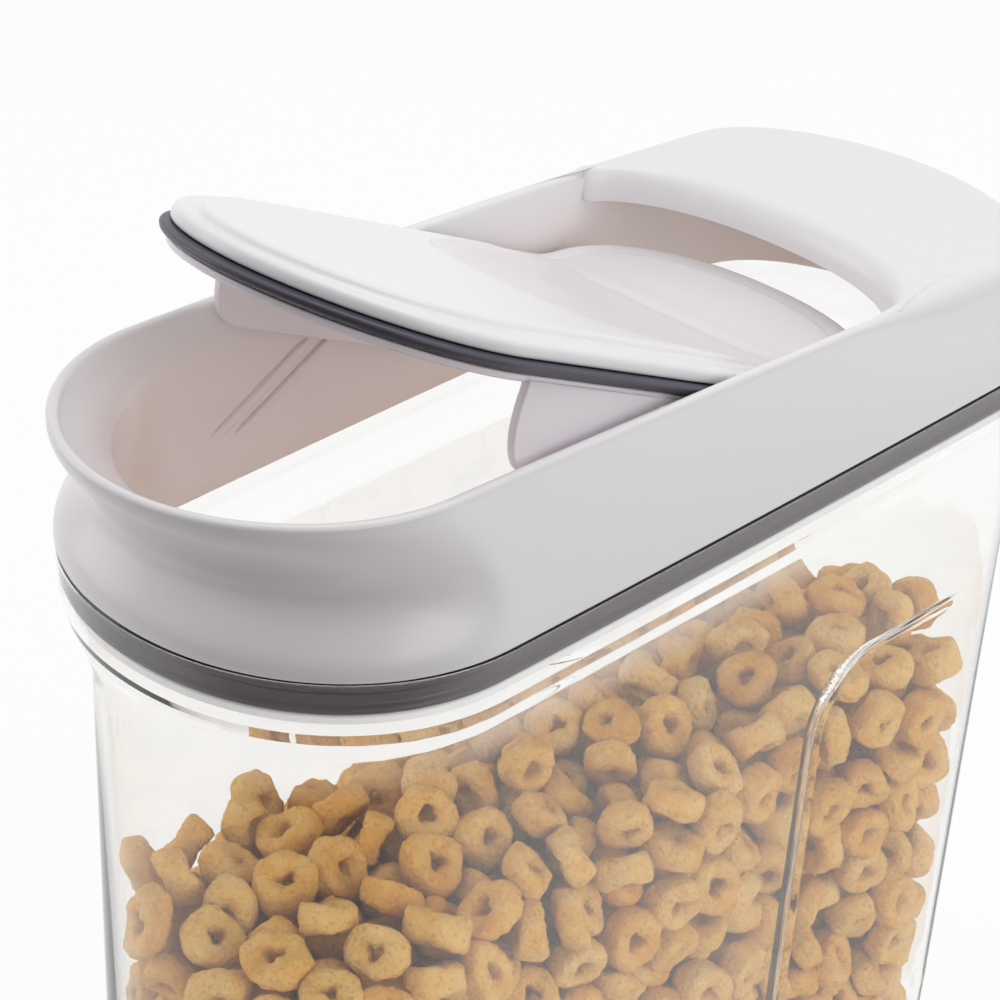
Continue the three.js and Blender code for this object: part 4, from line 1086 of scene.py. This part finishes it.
def moulded_material(name, color, cloud_color, gloss, spread, scale, strength, depth=0.00004):
    """A Principled material that takes its colour, roughness and grain from the group."""
    m, tree, shader = material(name)
    group = add(tree, "ShaderNodeGroup", name="moulded surface")
    group.node_tree = moulded
    group.inputs["Color"].default_value = (*color, 1)
    group.inputs["Cloud Color"].default_value = (*cloud_color, 1)
    group.inputs["Gloss"].default_value = gloss
    group.inputs["Gloss Spread"].default_value = spread
    group.inputs["Grain Scale"].default_value = scale
    bump = add(tree, "ShaderNodeBump")
    bump.inputs["Strength"].default_value = strength
    bump.inputs["Distance"].default_value = depth
    link(tree, group.outputs["Color"], shader.inputs["Base Color"])
    link(tree, group.outputs["Roughness"], shader.inputs["Roughness"])
    link(tree, group.outputs["Height"], bump.inputs["Height"])
    link(tree, bump.outputs["Normal"], shader.inputs["Normal"])
    return m, tree, shader


print("moulded surface group of", len(moulded.nodes), "nodes")

# %% [markdown]
# White moulded plastic has a clear soft gloss over a milky body. Its shadows are soft, and the
# warmth in them is painted: marks on the lid and the cap paint warm light and lavender shade into its
# colour.

# %% White plastic
WHITE, WHITE_CLOUD = (0.8560, 0.8475, 0.8585), (0.8535, 0.8450, 0.8555)
# painted glow for the hinge frame: a lighter, pinker white for its shaded ears
FRAME_PAINTED_GLOW, FRAME_PAINTED_GLOW_CLOUD = (0.93, 0.88, 0.92), (0.925, 0.875, 0.915)
# painted colours: warm light for the lid's chute and neck, lavender shade behind the cap's panel
CHUTE_PAINTED_LIGHT, VALLEY_PAINTED_SHADE = (0.96, 0.865, 0.86), (0.825, 0.793, 0.815)


def white_material(name, mark=None, painted_color=None, color=WHITE, cloud_color=WHITE_CLOUD):
    """White plastic. Where the mark stored on the points is 1, it takes the painted colour, which paints
    light or shade into it.
    """
    m, tree, shader = moulded_material(name, color, cloud_color, 0.26, 0.01, 2400, 0.03)
    shader.inputs["IOR"].default_value = 1.49
    if mark:
        mark_node = add(tree, "ShaderNodeAttribute", attribute_name=mark)
        for socket_name, plain in (("Color", WHITE), ("Cloud Color", WHITE_CLOUD)):
            cast = add(tree, "ShaderNodeMix", data_type="RGBA")
            cast.inputs["A"].default_value = (*plain, 1)
            cast.inputs["B"].default_value = (*painted_color, 1)
            link(tree, mark_node.outputs["Fac"], cast.inputs["Factor"])
            link(tree, cast.outputs["Result"], tree.nodes["moulded surface"].inputs[socket_name])
    return m


carrier.data.materials.append(white_material("white_moulding"))
# the hinge frame is painted lighter and pinker than the other white parts: painted glow that stands in for
# light from the chute shining through its thin ears
cap_frame.data.materials.append(white_material("white_frame_painted_glow", color=FRAME_PAINTED_GLOW,
                                               cloud_color=FRAME_PAINTED_GLOW_CLOUD))
# inside the chute and on the neck the lid takes painted warm light, for light bounced from the cereal and
# through the thin plastic
lid.data.materials.append(white_material("white_lid_moulding", "painted_warm_light", CHUTE_PAINTED_LIGHT))
# behind the raised panel the cap takes painted shade, a lavender-grey over the valley and the press tab
cap.data.materials.append(white_material("white_cap_moulding", "valley_painted_shade", VALLEY_PAINTED_SHADE))

# %% [markdown]
# Clear plastic bends what is behind it. Its own shadow is only a faint one, so shadow rays pass
# straight through and the lamps reach the cereal.

# %% Clear plastic
clear, tree, shader = moulded_material("clear_moulding", (0.985, 0.988, 0.98), (0.975, 0.975, 0.965),
                                       0.0, 0.004, 900, 0.008, 0.00001)
shader.inputs["Transmission Weight"].default_value = 1.0
shader.inputs["IOR"].default_value = 1.5
passing = add(tree, "ShaderNodeBsdfTransparent")
passing.inputs["Color"].default_value = (0.99, 0.99, 0.985, 1)
ray = add(tree, "ShaderNodeLightPath")
either = add(tree, "ShaderNodeMixShader")
link(tree, ray.outputs["Is Shadow Ray"], either.inputs["Fac"])
link(tree, shader.outputs["BSDF"], either.inputs[1])
link(tree, passing.outputs["BSDF"], either.inputs[2])
link(tree, either.outputs["Shader"], tree.nodes["Material Output"].inputs["Surface"])
tub.data.materials.append(clear)

# %% [markdown]
# The seals are nearly black silicone, a little more matt than the white plastic. The pins are
# plain grey-white and mostly hidden.

# %% Silicone and pins
silicone, tree, shader = moulded_material("mouth_silicone", (0.024, 0.009, 0.019), (0.034, 0.016, 0.028),
                                          0.36, 0.1, 3200, 0.04)
shader.inputs["IOR"].default_value = 1.5
lid_seal.data.materials.append(silicone)
cap_silicone = moulded_material("cap_silicone", (0.060, 0.058, 0.082), (0.08, 0.078, 0.105),
                                0.38, 0.12, 3200, 0.25)[0]
cap_seal.data.materials.append(cap_silicone)
pin_white = moulded_material("pin_moulding", (0.62, 0.62, 0.64), (0.56, 0.56, 0.58), 0.4, 0.1, 2600, 0.2)[0]
for name in ("pin_right", "pin_left"):
    bpy.data.objects[name].data.materials.append(pin_white)

# %% [markdown]
# Puffed cereal is toasted: tan on its faces, darker and redder where it browned, full of small
# pits whose hollows are painted darker as painted shade. The tone that was stored with each ring makes
# neighbours differ.

# %% Cereal crust
crust, tree, shader = material("toasted_cereal")
where = add(tree, "ShaderNodeTexCoord")
tone_node = add(tree, "ShaderNodeAttribute", attribute_name="tone")
patch = add(tree, "ShaderNodeTexNoise")
patch.inputs["Scale"].default_value = 170
patch.inputs["Detail"].default_value = 6
pits = add(tree, "ShaderNodeTexNoise")
pits.inputs["Scale"].default_value = 900
pits.inputs["Detail"].default_value = 4
for tex in (patch, pits):
    link(tree, where.outputs["Object"], tex.inputs["Vector"])
blend_tone = add(tree, "ShaderNodeMath", operation="MULTIPLY_ADD")
blend_tone.inputs[1].default_value = 0.3
link(tree, tone_node.outputs["Fac"], blend_tone.inputs[0])
link(tree, patch.outputs["Fac"], blend_tone.inputs[2])
toast = add(tree, "ShaderNodeValToRGB")
toast.color_ramp.elements[0].position = 0.3
toast.color_ramp.elements[0].color = (0.88, 0.38, 0.03, 1)
toast.color_ramp.elements[1].position = 1.0
toast.color_ramp.elements[1].color = (0.99, 0.68, 0.27, 1)
middle = toast.color_ramp.elements.new(0.65)
middle.color = (0.98, 0.56, 0.14, 1)
link(tree, blend_tone.outputs[0], toast.inputs["Fac"])
# painted shade: the low spots of the pit bump are painted a darker red-brown
pit_painted_shade = add(tree, "ShaderNodeMapRange")
pit_painted_shade.inputs["From Min"].default_value = 0.44
pit_painted_shade.inputs["From Max"].default_value = 0.32
pit_painted_shade.inputs["To Max"].default_value = 0.5
link(tree, pits.outputs["Fac"], pit_painted_shade.inputs["Value"])
pitted = add(tree, "ShaderNodeMix", data_type="RGBA")
pitted.inputs["B"].default_value = (0.70, 0.30, 0.02, 1)
link(tree, pit_painted_shade.outputs["Result"], pitted.inputs["Factor"])
link(tree, toast.outputs["Color"], pitted.inputs["A"])
link(tree, pitted.outputs["Result"], shader.inputs["Base Color"])
shader.inputs["Roughness"].default_value = 0.8
shader.inputs["Specular IOR Level"].default_value = 0.1
crumbs = add(tree, "ShaderNodeTexNoise")
crumbs.inputs["Scale"].default_value = 2300
crumbs.inputs["Detail"].default_value = 5
crumbs.inputs["Roughness"].default_value = 0.65
link(tree, where.outputs["Object"], crumbs.inputs["Vector"])
crumb_bump = add(tree, "ShaderNodeBump")
crumb_bump.inputs["Strength"].default_value = 1.0
crumb_bump.inputs["Distance"].default_value = 0.0005
link(tree, crumbs.outputs["Fac"], crumb_bump.inputs["Height"])
pit_bump = add(tree, "ShaderNodeBump")
pit_bump.inputs["Strength"].default_value = 1.0
pit_bump.inputs["Distance"].default_value = 0.001
link(tree, crumb_bump.outputs["Normal"], pit_bump.inputs["Normal"])
link(tree, pits.outputs["Fac"], pit_bump.inputs["Height"])
link(tree, pit_bump.outputs["Normal"], shader.inputs["Normal"])
cereal.data.materials.append(crust)

# %% [markdown]
# The studio is a pale floor and a soft white surround. What the camera or a refraction sees of
# them is white, while the light on the object stays at a plain level. Both get darker toward
# one side of the room, which gives the seal and the neck their dark front.

# %% Floor
scene = bpy.context.scene
floor_mesh = bpy.data.meshes.new("studio_floor")
HALF_FLOOR = 6.0
corners = [(x * HALF_FLOOR, y * HALF_FLOOR, 0) for x, y in [(-1, -1), (1, -1), (1, 1), (-1, 1)]]
floor_mesh.from_pydata(corners, [], [(0, 1, 2, 3)])
studio_floor = bpy.data.objects.new("studio_floor", floor_mesh)
scene.collection.objects.link(studio_floor)
studio_floor.location.z = -0.0003
print("floor", 2 * HALF_FLOOR, "m wide")


# %% Tools for the studio's looks
def math_node(tree, operation, a, b):
    """One sum on two sockets or numbers. Returns its result."""
    node = add(tree, "ShaderNodeMath", operation=operation)
    for i, value in enumerate((a, b)):
        if isinstance(value, (int, float)):
            node.inputs[i].default_value = value
        else:
            link(tree, value, node.inputs[i])
    return node.outputs[0]


def soft_step(tree, value, start, end):
    """0 before start, 1 after end, smooth between."""
    node = add(tree, "ShaderNodeMapRange", interpolation_type="SMOOTHSTEP")
    node.inputs["From Min"].default_value = start
    node.inputs["From Max"].default_value = end
    link(tree, value, node.inputs["Value"])
    return node.outputs["Result"]


DARK_SIDE = (0.66, -0.75, 0)


def toward_dark(tree, place):
    """How far a point or a direction goes toward the darker side of the studio."""
    node = add(tree, "ShaderNodeVectorMath", operation="DOT_PRODUCT")
    node.inputs[1].default_value = DARK_SIDE
    link(tree, add(tree, "ShaderNodeTexCoord").outputs[place], node.inputs[0])
    return node.outputs["Value"]


def mix_shaders(tree, share, first, second, output):
    """Two shaders mixed by a share, put out as the surface."""
    node = add(tree, "ShaderNodeMixShader")
    link(tree, share, node.inputs["Fac"])
    link(tree, first, node.inputs[1])
    link(tree, second, node.inputs[2])
    link(tree, node.outputs["Shader"], tree.nodes[output].inputs["Surface"])


# %% Look of the floor
SHARE_SEEN_WHITE = 0.88
floor_mat, tree, shader = material("pale_floor")
shader.inputs["Roughness"].default_value = 0.8
rays = add(tree, "ShaderNodeLightPath")
ahead_of_spout = soft_step(tree, toward_dark(tree, "Object"), 0.14, 0.34)
not_camera = math_node(tree, "SUBTRACT", 1, rays.outputs["Is Camera Ray"])
dark_zone = math_node(tree, "MULTIPLY", ahead_of_spout, not_camera)
floor_color = add(tree, "ShaderNodeMix", data_type="RGBA")
floor_color.inputs["A"].default_value = (0.95, 0.95, 0.95, 1)
floor_color.inputs["B"].default_value = (0.08, 0.06, 0.065, 1)
link(tree, dark_zone, floor_color.inputs["Factor"])
link(tree, floor_color.outputs["Result"], shader.inputs["Base Color"])
shine = add(tree, "ShaderNodeEmission")
shine.inputs["Strength"].default_value = 1.0
elsewhere = math_node(tree, "SUBTRACT", 1, ahead_of_spout)
glossy = math_node(tree, "MULTIPLY", rays.outputs["Is Glossy Ray"], elsewhere)
seen = math_node(tree, "MAXIMUM", rays.outputs["Is Camera Ray"], rays.outputs["Is Transmission Ray"])
shining = math_node(tree, "MULTIPLY", math_node(tree, "MAXIMUM", seen, glossy), SHARE_SEEN_WHITE)
mix_shaders(tree, shining, shader.outputs["BSDF"], shine.outputs["Emission"], "Material Output")
floor_mesh.materials.append(floor_mat)

# %% Surround
world = bpy.data.worlds.new("studio")
scene.world = world
world.use_nodes = True
tree = world.node_tree
background = tree.nodes["Background"]
background.inputs["Strength"].default_value = 0.72
room = add(tree, "ShaderNodeMix", data_type="RGBA")
room.inputs["A"].default_value = (1, 0.995, 1, 1)
room.inputs["B"].default_value = (0.14, 0.12, 0.13, 1)
link(tree, soft_step(tree, toward_dark(tree, "Generated"), 0.35, 0.9), room.inputs["Factor"])
link(tree, room.outputs["Result"], background.inputs["Color"])
rays = add(tree, "ShaderNodeLightPath")
white_back = add(tree, "ShaderNodeBackground")
white_back.inputs["Color"].default_value = (1, 1, 1, 1)
seen = math_node(tree, "MAXIMUM", rays.outputs["Is Camera Ray"], rays.outputs["Is Transmission Ray"])
mix_shaders(tree, seen, background.outputs["Background"], white_back.outputs["Background"], "World Output")

# %% [markdown]
# Three large soft lamps aim at the dispenser: one above it, one on its near side and one at the
# left. Large lamps close by give the wide, soft-edged gloss that the photograph shows.

# %% Lamps
LAMP_AIM = Vector((0, 0, 0.15))
lamps = [("top_box", (0.1, 0.45, 1.3), 0.9, 4.2), ("side_box", (1.3, -0.1, 0.6), 0.8, 4),
         ("left_box", (-1.15, -0.7, 0.6), 0.8, 3.4)]
for name, spot, size, power in lamps:
    lamp = bpy.data.lights.new(name, "AREA")
    lamp.shape, lamp.size, lamp.size_y, lamp.energy = "RECTANGLE", size, size, power
    lamp_object = bpy.data.objects.new(name, lamp)
    lamp_object.location = spot
    lamp_object.rotation_euler = (LAMP_AIM - Vector(spot)).to_track_quat("-Z", "Y").to_euler()
    scene.collection.objects.link(lamp_object)
    print(name, power, "W")

# %% [markdown]
# The camera was solved from the photograph's own edges, so it is written as a place and three
# directions.

# %% Camera
lens = bpy.data.cameras.new("photo_camera")
lens.sensor_width, lens.lens = 36.0, 3579.89 / 1000 * 36
lens.clip_start, lens.clip_end = 0.05, 50
camera = bpy.data.objects.new("photo_camera", lens)
right, above = (0.72850, 0.68327, 0.04940), (-0.37777, 0.34053, 0.86100)
behind = (0.57147, -0.64590, 0.50619)
camera_turn = Matrix((right, above, behind)).transposed().to_4x4()
camera.matrix_world = Matrix.Translation((0.423587, -0.499414, 0.567052)) @ camera_turn
scene.collection.objects.link(camera)
scene.camera = camera
scene.view_settings.view_transform = "Standard"
